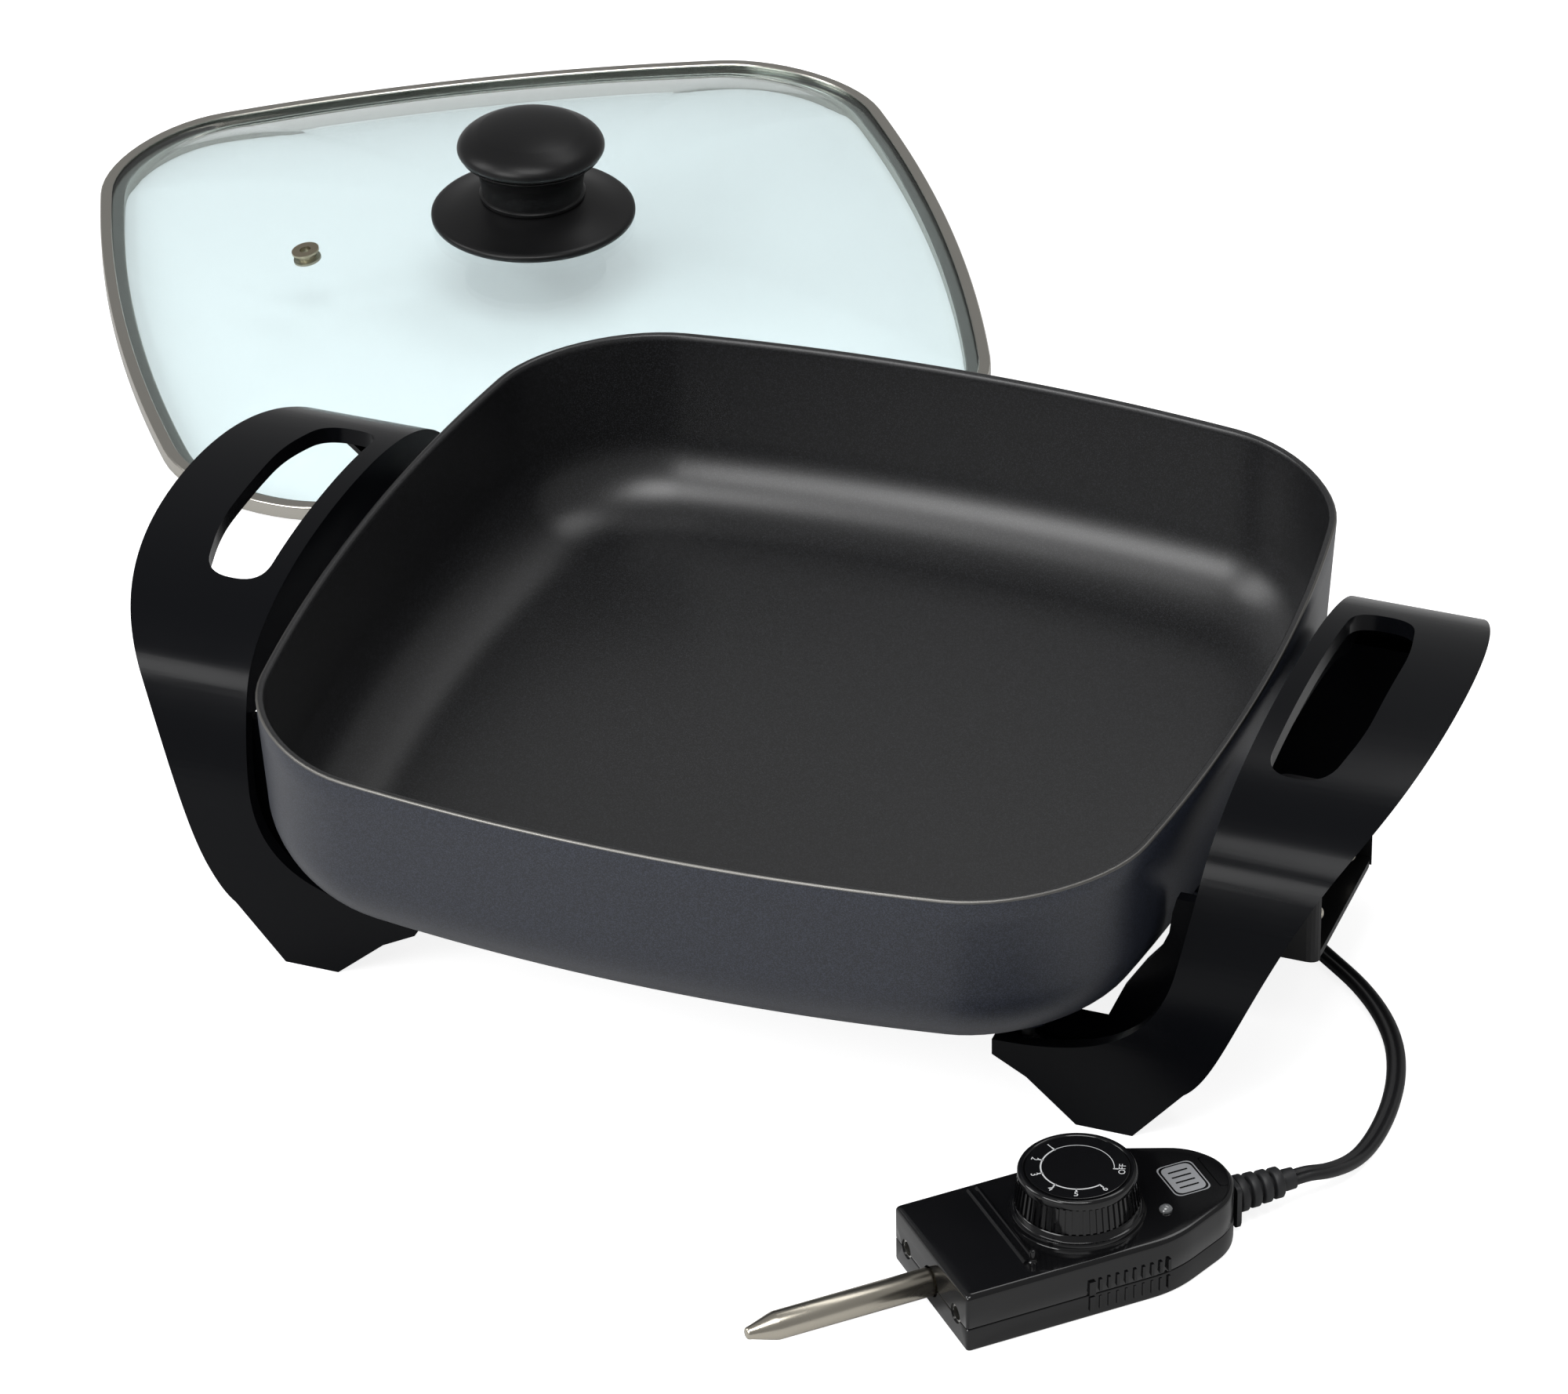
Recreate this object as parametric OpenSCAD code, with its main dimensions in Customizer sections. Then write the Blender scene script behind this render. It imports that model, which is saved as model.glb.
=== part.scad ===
/* [Pan] */
// Half width of the square pan across the middle of its rim
pan_half = 150; // [142:1:158]
// Corner radius of the rim, seen from above
pan_corner_r = 45; // [38:1:52]
// How much the sides bow out between the corners
pan_bow = 14; // [10:1:18]
// Height of the pan's rim above the table
rim_z = 106; // [100:1:110]
// Depth of the pan outside, rim to underside
pan_depth = 64; // [58:1:66]
// Wall thickness at the rim
pan_wall = 2.6; // [2:0.1:4]
// Thickness of the cast floor
pan_floor = 4; // [3:0.25:5]
// How far the wall leans in from rim to base curve
wall_draft = 2; // [1:0.5:4]
// Radius of the curve from wall to underside
base_curve = 30; // [24:1:34]
// Corner radius of the flat underside
base_corner_r = 22; // [16:1:26]

/* [Heating element] */
// Half width of the element's square loop
element_half = 78; // [70:1:82]
// Diameter of the sheathed element
element_d = 8; // [6:0.5:8]
// Corner radius of the loop
element_corner_r = 30; // [24:1:34]
// Distance of each terminal pin from the middle
pin_y = 17; // [16:0.5:18]
// Diameter of a terminal pin
pin_d = 5; // [4:0.25:5.5]
// How far the pins stand out of the guard's back wall
pin_reach = 26.5; // [20:0.5:28]
// Width of the cast ridge either side of the element
ridge_wall = 3; // [2:0.5:3.5]

/* [Handles] */
// Height of the crown of each grip above the table
grip_z = 111.5; // [108:0.5:118]
// Gap from the pan's rim to the inner edge of a grip
grip_gap = 7.5; // [6:0.5:12]
// Width of a grip from inner to outer edge
grip_w = 55; // [50:0.5:60]
// Thickness of the moulded band
band_t = 4.5; // [3.5:0.25:5.5]
// Distance of the feet's outer faces from the middle, front and rear
foot_y = 97; // [94:1:100]
// Depth of a foot, front wall to rear wall
foot_depth = 22; // [20:1:26]
// Width of the flat sole of a foot
foot_w = 18; // [14:1:22]
// How far the sole lies inside the pan's rim line
foot_inset = 28; // [24:1:32]
// How far the wing under the pan reaches in from the sole
wing_reach = 27; // [25:1:30]
// Half length of the hand hole
hole_half = 48; // [42:1:52]
// Width of the hand hole at its middle
hole_w = 24.5; // [20:0.5:27]
// Width of the bar between hand hole and pan
inner_bar = 6.5; // [5:0.5:9]
// Width of the lip round the hand hole
lip_t = 2.5; // [2:0.25:3.5]
// Depth of the apron along the grip's inner edge
apron_h = 19; // [16:0.5:21]

/* [Socket guard] */
// Outer width of the guard round the terminals
guard_w = 60; // [56:1:64]
// Height of the guard
guard_h = 26.5; // [25:0.5:30]
// How far the guard stands out from its back wall
guard_reach = 31.5; // [28:0.5:34]
// Wall thickness of the guard
guard_t = 2.5; // [2:0.25:3]

/* [Lid] */
// How far the lid's rim overhangs the pan's rim all round
lid_over = 4.5; // [3:0.5:6]
// Rise of the glass from rim to crown
glass_rise = 25; // [18:1:30]
// Glass thickness
glass_t = 3.75; // [3:0.25:5]
// Depth of the locating skirt that drops inside the pan
skirt_h = 4.4; // [3:0.2:6]
// Thickness of the rim's sheet steel
rim_t = 0.8; // [0.6:0.1:1.2]
// Distance of the steam vent from the lid's middle
vent_offset = 83; // [70:1:100]
// Diameter of the knob's cap
knob_d = 53.6; // [46:0.5:58]
// Diameter of the knob's heat flange
flange_d = 74; // [64:1:80]
// Height of the knob above the glass
knob_h = 37.5; // [34:0.5:42]

/* [Control] */
// Width of the plug-in control
ctl_w = 50; // [48:1:52]
// Length of the straight part of the control
ctl_straight = 66; // [62:1:70]
// Length of the rounded rear end
ctl_end = 31; // [26:1:33]
// Height of the control
ctl_h = 20; // [19.5:0.5:22]
// Height of the joint between its two shells
ctl_split = 8.3; // [8:0.1:9]
// Shell thickness
shell_t = 2; // [1.5:0.25:2.5]
// Height of the probe and contacts above the control's base
axis_h = 9; // [8.5:0.25:9.5]
// Diameter of the temperature probe
probe_d = 8.7; // [8:0.1:9]
// Length of the probe in front of the control
probe_len = 59; // [54:1:60]
// Distance of the dial from the control's front face
dial_u = 47.5; // [45:0.5:49]
// Diameter of the dial
dial_d = 35.4; // [32:0.2:37]
// Height of the dial
dial_h = 11.2; // [9:0.2:13]
// Height of the stepped collar under the dial
collar_h = 4; // [3:0.25:5]
// Ribs round the dial's skirt
dial_ribs = 56; // [40:2:64]

/* [Cord] */
// Width of the flat twin cord
cord_w = 6; // [5:0.25:6.5]
// Thickness of the flat twin cord
cord_t = 3.2; // [2.6:0.1:3.6]
// Length of the strain relief outside the control
relief_len = 22; // [20:1:26]

/* [Hidden] */

// Clearances: seated pieces, running fits, sliding fits and screws in their holes
seat_gap = 0.1;
run_gap = 0.3;
pin_fit = 0.05;
screw_fit = 0.05;
fine = 48;

// Heights that the pieces share
under_z = rim_z - pan_depth;
floor_z = under_z + pan_floor;
socket_z = under_z - element_d / 2 - 0.5;
inner_curve = base_curve - pan_floor;
base_half = pan_half - wall_draft - base_curve;

// ---------- shared functions ----------

// A square with side a either side, rounded corners of radius r and sides bowed by bow
corner_steps = 8;
side_steps = 8;
function bowed(p, a, bow) = [p.x * (1 - bow * pow(p.y / a, 2) / a), p.y * (1 - bow * pow(p.x / a, 2) / a)];
function quarter(a, r) = concat(
    [for (i = [0:corner_steps]) [a - r + r * cos(90 * i / corner_steps), a - r + r * sin(90 * i / corner_steps)]],
    [for (i = [1:side_steps - 1]) [(a - r) * (1 - 2 * i / side_steps), a]]);
function turned(p, q) = q == 0 ? p : turned([-p.y, p.x], q - 1);
function outline(a, r, bow) = [for (q = [0:3]) for (p = quarter(a, r)) turned(bowed(p, a, bow), q)];
function at_height(path, z) = [for (p = path) [p.x, p.y, z]];

// A cubic curve through a and d, pulled towards b and c
function bez(a, b, c, d, n) = [for (i = [0:n]) let (t = i / n)
    a * pow(1 - t, 3) + 3 * b * t * pow(1 - t, 2) + 3 * c * t * t * (1 - t) + d * pow(t, 3)];
function but_first(path) = [for (i = [1:len(path) - 1]) path[i]];
function reversed(path) = [for (i = [len(path) - 1:-1:0]) path[i]];
function mirrored(path) = [for (p = path) [-p.x, p.y]];
// A path moved sideways by d, to the right of its direction of travel
function beside(path, d) = [for (i = [0:len(path) - 1])
    let (a = path[max(i - 1, 0)], b = path[min(i + 1, len(path) - 1)], t = (b - a) / norm(b - a))
    path[i] + d * [t.y, -t.x]];
// A closed outline with every corner rounded by radius r
function rounded(pts, r, n) = [for (i = [0:len(pts) - 1])
    let (p = pts[i], a = pts[(i + len(pts) - 1) % len(pts)], b = pts[(i + 1) % len(pts)],
         u = (a - p) / norm(a - p), v = (b - p) / norm(b - p))
    for (k = [0:n]) let (t = k / n) p + r * (u * pow(1 - t, 2) + v * pow(t, 2))];

// A solid through rings of equal point count, lowest first, closed by its end rings
module skin(rings) {
    n = len(rings[0]);
    m = len(rings);
    polyhedron(
        points = [for (ring = rings) for (p = ring) p],
        faces = concat(
            [[for (i = [0:n - 1]) i]],
            [for (j = [0:m - 2]) for (i = [0:n - 1]) [j * n + i, (j + 1) * n + i, j * n + (i + 1) % n]],
            [for (j = [0:m - 2]) for (i = [0:n - 1])
                [j * n + (i + 1) % n, (j + 1) * n + i, (j + 1) * n + (i + 1) % n]],
            [[for (i = [n - 1:-1:0]) (m - 1) * n + i]]));
}

// A solid through rings that join up again, the last to the first
module ring_skin(rings) {
    n = len(rings[0]);
    m = len(rings);
    polyhedron(
        points = [for (ring = rings) for (p = ring) p],
        faces = [for (j = [0:m - 1]) for (i = [0:n - 1])
            let (a = j * n + i, b = j * n + (i + 1) % n,
                 c = ((j + 1) % m) * n + i, d = ((j + 1) % m) * n + (i + 1) % n)
            for (f = [[a, c, b], [b, c, d]]) f]);
}

// A bar with an outline in X and Z, running along Y from y0 to y1
module along_y(y0, y1) {
    translate([0, y1, 0]) rotate([90, 0, 0]) linear_extrude(y1 - y0) children();
}

// A bar with an outline in Y and Z, running along X from x0 to x1
module along_x(x0, x1) {
    translate([x0, 0, 0]) rotate([90, 0, 90]) linear_extrude(x1 - x0) children();
}

// A cylinder lying along X
module rod_x(x0, x1, r) {
    translate([x0, 0, 0]) rotate([0, 90, 0]) cylinder(h = x1 - x0, r = r, $fn = fine);
}

// A screw with its head's underside at the origin and its shank upwards
module screw_up(len, d, head_d, head_h) {
    cylinder(h = len, r = d / 2, $fn = fine);
    translate([0, 0, -head_h]) difference() {
        cylinder(h = head_h, r = head_d / 2, $fn = fine);
        for (a = [0, 90]) rotate(a) cube([head_d * 0.55, 0.9, head_h], center = true);
    }
}

// ---------- pan ----------

function pan_ring(inset, z, r) =
    at_height(outline(pan_half - inset, r, pan_bow * (1 - inset / pan_half)), z);
// Corner radius on the way down the base curve, t = 0 at its top and 1 at the underside
function curve_corner(t) = pan_corner_r - wall_draft + (base_corner_r - pan_corner_r + wall_draft) * t;
pad_x = pan_half - foot_inset - 19;
pad_y = foot_y - foot_depth / 2;
pad_r = 7;
pad_h = 13;
boss_x0 = 118;
boss_x1 = pan_half - 4;
boss_w = 2 * (pin_y + 9);
probe_bore_r = probe_d / 2 + 0.25;
// The block under the floor: half width of its neck, its seat's depth, and the room past the probe's tip
block_r = 7;
block_seat = 1;
well_slack = 2.6;
well_end = 3;
screw_pan_r = 2;

module pan_shell() {
    rim_round = 0.7;
    skin(concat(
        [for (a = [90:-10:0]) pan_ring(wall_draft + base_curve * (1 - cos(a)),
            under_z + base_curve * (1 - sin(a)), curve_corner(1 - cos(a)))],
        [pan_ring(0, rim_z - rim_round, pan_corner_r),
         pan_ring(rim_round, rim_z, pan_corner_r - rim_round),
         pan_ring(pan_wall - rim_round, rim_z, pan_corner_r - pan_wall + rim_round),
         pan_ring(pan_wall, rim_z - rim_round, pan_corner_r - pan_wall)],
        [for (a = [0:15:90]) pan_ring(wall_draft + pan_wall + inner_curve * (1 - cos(a)),
            floor_z + inner_curve * (1 - sin(a)), curve_corner(1 - cos(a)) - pan_wall)]));
}

// Plan of the element's run, w wide: a square loop open at the socket side, with two straight ends
bend_r = 12;
module rounded_square(a, r) {
    square([2 * a, 2 * (a - r)], center = true);
    square([2 * (a - r), 2 * a], center = true);
    for (i = [-1, 1]) for (j = [-1, 1]) translate([i * (a - r), j * (a - r)]) circle(r = r, $fn = fine);
}
module element_plan(w) {
    difference() {
        rounded_square(element_half + w / 2, element_corner_r + w / 2);
        rounded_square(element_half - w / 2, element_corner_r - w / 2);
        translate([element_half - w, -pin_y - bend_r]) square([2 * w, 2 * (pin_y + bend_r)]);
    }
    for (s = [-1, 1]) {
        translate([element_half + bend_r, s * (pin_y + bend_r)]) intersection() {
            difference() {
                circle(r = bend_r + w / 2, $fn = fine);
                circle(r = bend_r - w / 2, $fn = fine);
            }
            translate([-2 * bend_r, s > 0 ? -2 * bend_r : 0]) square(2 * bend_r);
        }
        translate([element_half + bend_r, s * pin_y - w / 2]) square([boss_x1 - element_half - bend_r, w]);
    }
}

module pan() {
    color("#23252a") difference() {
        union() {
            pan_shell();
            translate([0, 0, socket_z - element_d / 2 + 0.5]) linear_extrude(pan_floor + element_d - 2)
                intersection() {
                    element_plan(element_d + 2 * ridge_wall);
                    translate([-pan_half, -pan_half]) square([pan_half + boss_x0, 2 * pan_half]);
                }
            for (i = [-1, 1]) for (j = [-1, 1])
                translate([i * pad_x, j * pad_y, under_z - pad_h]) cylinder(h = pad_h + 1, r = pad_r, $fn = fine);
        }
        translate([0, 0, under_z - 20]) linear_extrude(20 - 0.5 + 0.01) difference() {
            element_plan(element_d + 2 * seat_gap);
            translate([boss_x0, -pan_half]) square([pan_half, 2 * pan_half]);
        }
        translate([0, 0, socket_z - 2 * block_r]) linear_extrude(under_z + block_seat - socket_z + 2 * block_r)
            block_plan(seat_gap);
        for (i = [-1, 1]) for (j = [-1, 1]) translate([i * pad_x, j * pad_y, under_z - pad_h - 1])
            cylinder(h = pad_h - 1, r = screw_pan_r + screw_fit, $fn = fine);
    }
}

// Plan of the probe's block, grown by w: a neck along the well and a wide head at the terminals
module block_plan(w) {
    neck_x0 = pin_root_x - probe_len - well_slack - well_end;
    translate([neck_x0 - w, -block_r - w]) square([boss_x0 - neck_x0 + 1, 2 * (block_r + w)]);
    translate([boss_x0 - w, -boss_w / 2 - w]) square([boss_x1 - boss_x0 + 2 * w, boss_w + 2 * w]);
}

// The cast block seated in the floor's underside, with the probe's well and the element's two ends
module probe_block() {
    top = under_z + block_seat - seat_gap;
    color("#2b2d31") difference() {
        union() {
            translate([0, 0, socket_z]) linear_extrude(top - socket_z) block_plan(0);
            intersection() {
                translate([0, 0, socket_z - block_r]) linear_extrude(block_r + 1) block_plan(0);
                union() {
                    translate([0, 0, socket_z]) rod_x(0, boss_x0, block_r);
                    translate([boss_x0, -boss_w / 2, socket_z - block_r])
                        cube([boss_x1 - boss_x0, boss_w, block_r + 2]);
                }
            }
        }
        for (s = [-1, 1]) translate([0, s * pin_y, socket_z])
            rod_x(boss_x0 - 1, boss_x1 + 1, element_d / 2 + seat_gap);
        translate([0, 0, socket_z]) rod_x(pin_root_x - probe_len - well_slack, boss_x1 + 1, probe_bore_r);
        for (s = [-1, 1]) translate([guard_screw_x, s * guard_screw_y, socket_z - block_r - 1])
            cylinder(h = guard_screw_len, r = guard_screw_r + screw_fit, $fn = fine);
    }
}

module heating_element() {
    r = element_d / 2;
    c = element_half - element_corner_r;
    color("#8f8b86") translate([0, 0, socket_z]) {
        for (q = [1:3]) rotate(90 * q) translate([element_half, -c, 0]) rotate([-90, 0, 0])
            cylinder(h = 2 * c, r = r, $fn = fine);
        for (q = [0:3]) rotate(90 * q) translate([c, c, 0]) rotate_extrude(angle = 90, $fn = fine)
            translate([element_corner_r, 0]) circle(r = r, $fn = fine);
        for (s = [-1, 1]) {
            translate([element_half, s > 0 ? pin_y + bend_r : -c, 0]) rotate([-90, 0, 0])
                cylinder(h = c - pin_y - bend_r, r = r, $fn = fine);
            translate([element_half + bend_r, s * (pin_y + bend_r), 0]) rotate(s > 0 ? 180 : 90)
                rotate_extrude(angle = 90, $fn = fine) translate([bend_r, 0]) circle(r = r, $fn = fine);
            translate([0, s * pin_y, 0]) rod_x(element_half + bend_r, boss_x1 - 3, r);
        }
    }
}

guard_back_x = boss_x1 + seat_gap;
pin_root_x = guard_back_x + guard_t + 2;
pin_root_r = pin_d / 2 + 0.5;
module terminal_insulators() {
    color("#d8d2c4") for (s = [-1, 1]) translate([0, s * pin_y, socket_z]) difference() {
        union() {
            rod_x(boss_x1 - 3 + seat_gap, guard_back_x + guard_t, element_d / 2);
            rod_x(guard_back_x + guard_t + seat_gap, pin_root_x, element_d / 2 + 0.8);
            rod_x(guard_back_x + guard_t - 1, guard_back_x + guard_t + 1, element_d / 2);
        }
        rod_x(boss_x1 - 4, pin_root_x + 1, pin_root_r + seat_gap);
    }
}

module terminal_pins() {
    tip = guard_back_x + guard_t + pin_reach;
    color("#c8b98a") for (s = [-1, 1]) translate([0, s * pin_y, socket_z]) {
        rod_x(boss_x1 - 3 + seat_gap, pin_root_x, pin_root_r);
        rod_x(pin_root_x - 1, tip - pin_d / 2, pin_d / 2);
        translate([tip - pin_d / 2, 0, 0]) sphere(r = pin_d / 2, $fn = fine);
    }
}

// ---------- socket guard ----------

guard_x1 = guard_back_x + guard_reach;
guard_z0 = socket_z - block_r - guard_t - seat_gap;
guard_screw_x = 131;
guard_screw_y = 9;
guard_screw_r = 1.6;
guard_r = 4;
guard_screw_len = 11;

module guard_plan(inset) {
    w = guard_w / 2 - inset;
    x0 = guard_back_x + inset;
    x1 = guard_x1 + (inset > 0 ? guard_r + 1 : 0);
    polygon(rounded([[x0, -w], [x1, -w], [x1, w], [x0, w]], guard_r - inset / 2, 5));
}

module socket_guard() {
    z1 = guard_z0 + guard_h;
    chamfer = 3.5;
    color("#101012") difference() {
        union() {
            difference() {
                translate([0, 0, guard_z0]) linear_extrude(guard_h) guard_plan(0);
                translate([0, 0, guard_z0 - 1]) linear_extrude(guard_h + 1 - guard_t) guard_plan(guard_t);
            }
            translate([boss_x0 + 4, -guard_w / 2 + 6, guard_z0])
                cube([guard_back_x + guard_t - boss_x0 - 4, guard_w - 12, guard_t]);
        }
        for (s = [-1, 1]) {
            translate([0, s * pin_y, socket_z])
                rod_x(guard_back_x - 1, guard_back_x + guard_t + 1, element_d / 2 + seat_gap);
            translate([guard_screw_x, s * guard_screw_y, guard_z0 - 1])
                cylinder(h = guard_t + 2, r = guard_screw_r + 0.2, $fn = fine);
        }
        translate([0, 0, socket_z]) rod_x(guard_back_x - 1, guard_back_x + guard_t + 1, probe_bore_r + 0.5);
        translate([guard_x1, 0, z1]) rotate([0, 45, 0]) cube([chamfer, guard_w + 2, chamfer], center = true);
    }
}

module guard_screws() {
    color("#b9bcc0") for (s = [-1, 1])
        translate([guard_screw_x, s * guard_screw_y, guard_z0 - seat_gap])
            screw_up(guard_t + guard_screw_len - 1, 2 * guard_screw_r, 6, 1.8);
}

// ---------- handles ----------

foot_x0 = pan_half - foot_inset;
foot_x1 = foot_x0 + foot_w;
wing_x = foot_x0 - wing_reach;
grip_x0 = pan_half + grip_gap;
grip_x1 = grip_x0 + grip_w;
wing_z = under_z - 16.5;
knee_z = grip_z - 24;
knee_y = foot_y - 16.5;

// Half of the arch in Y and Z, from the sole up to the crown
arch_half = concat([[foot_y, 0]],
    bez([foot_y, wing_z + 4.5], [foot_y, wing_z + 22.5], [knee_y + 4.5, knee_z - 14], [knee_y, knee_z], 6),
    but_first(bez([knee_y, knee_z], [knee_y - 2, knee_z + 7.5], [foot_y - 51.5, grip_z], [0, grip_z], 12)));
arch_path = concat(arch_half, reversed([for (i = [0:len(arch_half) - 2]) [-arch_half[i].x, arch_half[i].y]]));
module arch_band(t) {
    polygon(concat(arch_path, reversed(beside(arch_path, -t))));
}

// Outer and inner edges of the band in X and Z, from the sole up
edge_out = concat([[foot_x1, 0]],
    bez([foot_x1 + 16, 19], [foot_x1 + 26, 32], [grip_x1 - 32.5, 64.5], [grip_x1 - 22.5, knee_z + 1], 7),
    but_first(bez([grip_x1 - 22.5, knee_z + 1], [grip_x1 - 22, knee_z + 11.5], [grip_x1 - 8, grip_z - 12.5],
        [grip_x1, grip_z + 1], 6)));
edge_in = concat(
    bez([wing_x, wing_z], [wing_x + 33, wing_z], [grip_x0 - 11.5, under_z - 6], [grip_x0 - 6.5, 58], 9),
    but_first(bez([grip_x0 - 6.5, 58], [grip_x0 - 4, 71], [grip_x0 - 2, knee_z],
        [grip_x0 - 1, knee_z + 11], 4)),
    [[grip_x0, grip_z + 1]]);
sole_edge = [[wing_x, wing_z - 5.5], [wing_x + 11, wing_z - 11.5], [foot_x0, 0]];
// Inner edge of a leg's rear wall, which follows the pan's base curve at a small gap
leg_gap = 1.5;
leg_side_x = pan_half - wall_draft - pan_bow * pow((foot_y - foot_depth) / pan_half, 2) + leg_gap;
rear_in = concat(
    [[wing_x, wing_z + 1.5], [foot_x0 + 3, wing_z + 1.5], [foot_x0 + 8.5, wing_z + 14.5]],
    [for (a = [45:-15:0]) [leg_side_x - base_curve * (1 - cos(a)), under_z + base_curve * (1 - sin(a))]],
    [[grip_x0 - 7, knee_z + 3], [grip_x0 - 7, knee_z + 10]]);

module front_outline() {
    polygon(concat(edge_out, reversed(edge_in), sole_edge));
}
module leg_outline() {
    intersection() {
        polygon(concat(edge_out, reversed(rear_in), sole_edge));
        square([2 * grip_x1, knee_z - 10.5]);
    }
}
// The leg's hollow: the outline moved in from the sole and the outer edge
module leg_hollow() {
    t = band_t - 0.5;
    polygon(concat(
        [for (p = beside(edge_out, -t)) [p.x, max(p.y, t)]],
        [[wing_x - 20, knee_z + 20], [wing_x - 20, wing_z - 5.5 + t], [wing_x + 1, wing_z - 5.5 + t],
         [wing_x + 12.5, wing_z - 11.5 + t], [foot_x0 + 2, t]]));
}
hole_x0 = grip_x0 + inner_bar;
module hand_hole(grow) {
    h = hole_half + grow;
    x0 = hole_x0 - grow;
    x1 = hole_x0 + hole_w + grow;
    polygon(rounded([[x0, -h], [x1 - 5, -h], [x1, -h / 2], [x1, h / 2], [x1 - 5, h], [x0, h]], 9, 6));
}
handle_screw_r = 2;
boss_top = under_z - pad_h - seat_gap;
head_z = 20;

module handle() {
    difference() {
        union() {
            intersection() {
                along_x(0, 2 * grip_x1) arch_band(band_t);
                along_y(-foot_y - 1, foot_y + 1) front_outline();
            }
            for (s = [-1, 1]) {
                y0 = s > 0 ? foot_y - foot_depth : -foot_y;
                difference() {
                    intersection() {
                        along_y(y0, y0 + foot_depth) leg_outline();
                        along_x(0, 2 * grip_x1) arch_band(foot_depth);
                    }
                    along_y(s > 0 ? foot_y - foot_depth + band_t - 0.5 : -foot_y - 1,
                            s > 0 ? foot_y + 1 : -foot_y + foot_depth - band_t + 0.5) leg_hollow();
                }
                translate([pad_x, s * pad_y, wing_z - 10]) intersection() {
                    cylinder(h = boss_top - wing_z + 10, r = pad_r - 1, $fn = fine);
                    translate([-pad_r, -pad_r, 0]) cube([2 * pad_r, 2 * pad_r, 40]);
                }
            }
            intersection() {
                along_x(0, 2 * grip_x1) arch_band(band_t + 1);
                translate([0, 0, knee_z]) linear_extrude(60) hand_hole(lip_t);
            }
            intersection() {
                along_x(0, 2 * grip_x1) arch_band(apron_h);
                along_y(-foot_y - 1, foot_y + 1) difference() {
                    front_outline();
                    translate([2.5, 0]) front_outline();
                    square([2 * grip_x1, knee_z - 5.5]);
                }
            }
            intersection() {
                along_x(0, 2 * grip_x1) arch_band(band_t + 2.5);
                along_y(-foot_y - 1, foot_y + 1) difference() {
                    front_outline();
                    translate([-2.5, 0]) front_outline();
                    square([2 * grip_x1, wing_z + 22]);
                }
            }
        }
        translate([0, 0, knee_z - 40]) linear_extrude(120) hand_hole(0);
        for (s = [-1, 1]) translate([pad_x, s * pad_y, 0]) {
            cylinder(h = boss_top + 1, r = handle_screw_r + 0.25, $fn = fine);
            cylinder(h = head_z, r = 4.4, $fn = fine);
        }
    }
}

module left_handle() {
    color("#141416") mirror([1, 0, 0]) handle();
}
module right_handle() {
    color("#141416") handle();
}
module handle_screws(side) {
    color("#b9bcc0") for (s = [-1, 1]) translate([side * pad_x, s * pad_y, head_z - seat_gap])
        screw_up(under_z - 4 - head_z, 2 * handle_screw_r, 8, 2.4);
}
module left_handle_screws() {
    handle_screws(-1);
}
module right_handle_screws() {
    handle_screws(1);
}

// ---------- lid, lying on the table behind the pan ----------

lid_pos = [-226, 322];
lid_turn = 31.75;
lid_half = pan_half + lid_over;
lid_corner_r = pan_corner_r + lid_over;
skirt_inset = lid_over + pan_wall + 1;
channel_w = skirt_inset + rim_t;
glass_edge_z = skirt_h + rim_t + seat_gap;
glass_inset = rim_t + seat_gap;
rim_top_z = glass_edge_z + glass_t + seat_gap + rim_t;
crown_z = glass_edge_z + glass_t + glass_rise;
vent_r = 3.2;
dome_power = 2.6;
vent_share = vent_offset / (lid_half - channel_w);
vent_tilt = atan(glass_rise * dome_power * pow(vent_share, dome_power - 1) / (lid_half - channel_w));
stud_r = 3.6;

module place_lid() {
    translate([lid_pos.x, lid_pos.y, 0]) rotate(lid_turn) children();
}

function lid_ring(inset, z) =
    at_height(outline(lid_half - inset, lid_corner_r - inset, pan_bow * (1 - inset / lid_half)), z);
// Height of the glass above its edge at share s of the way out from the middle
function glass_h(s) = glass_rise * (1 - pow(s, dome_power));
function glass_ring(s, z) = [for (p = outline(lid_half - channel_w, lid_corner_r - channel_w, pan_bow))
    [p.x * s, p.y * s, z]];

module lid_glass() {
    steps = [0.16, 0.3, 0.44, 0.58, 0.7, 0.8, 0.88, 0.94, 1];
    edge = glass_edge_z + glass_t;
    color("#cfe6e6", 0.45) place_lid() difference() {
        skin(concat(
            [for (s = steps) glass_ring(s, glass_edge_z + glass_h(s))],
            [lid_ring(glass_inset, glass_edge_z), lid_ring(glass_inset, edge)],
            [for (s = reversed(steps)) glass_ring(s, edge + glass_h(s))]));
        translate([0, 0, glass_edge_z]) cylinder(h = glass_rise + 2 * glass_t, r = stud_r, $fn = fine);
        place_vent() cylinder(h = 4 * glass_t, r = vent_r + seat_gap, center = true, $fn = fine);
    }
}

module lid_rim() {
    top = rim_top_z;
    low = skirt_h;
    lip = 4.2;
    color("#b7b4a8") place_lid() ring_skin([
        lid_ring(0.3, low), lid_ring(0, low + 0.4), lid_ring(0, top - 0.6), lid_ring(0.5, top),
        lid_ring(lip, top), lid_ring(lip, top - rim_t), lid_ring(glass_inset - seat_gap, top - rim_t),
        lid_ring(glass_inset - seat_gap, low + rim_t), lid_ring(channel_w, low + rim_t),
        lid_ring(channel_w, 0), lid_ring(skirt_inset, 0), lid_ring(skirt_inset, low)]);
}

// The vent stands square to the glass, its origin in the middle of the sheet
vent_z = crown_z - glass_rise + glass_h(vent_share) - glass_t / 2;
module place_vent() {
    translate([-vent_offset, 0, vent_z]) rotate([0, -vent_tilt, 0]) children();
}

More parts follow.
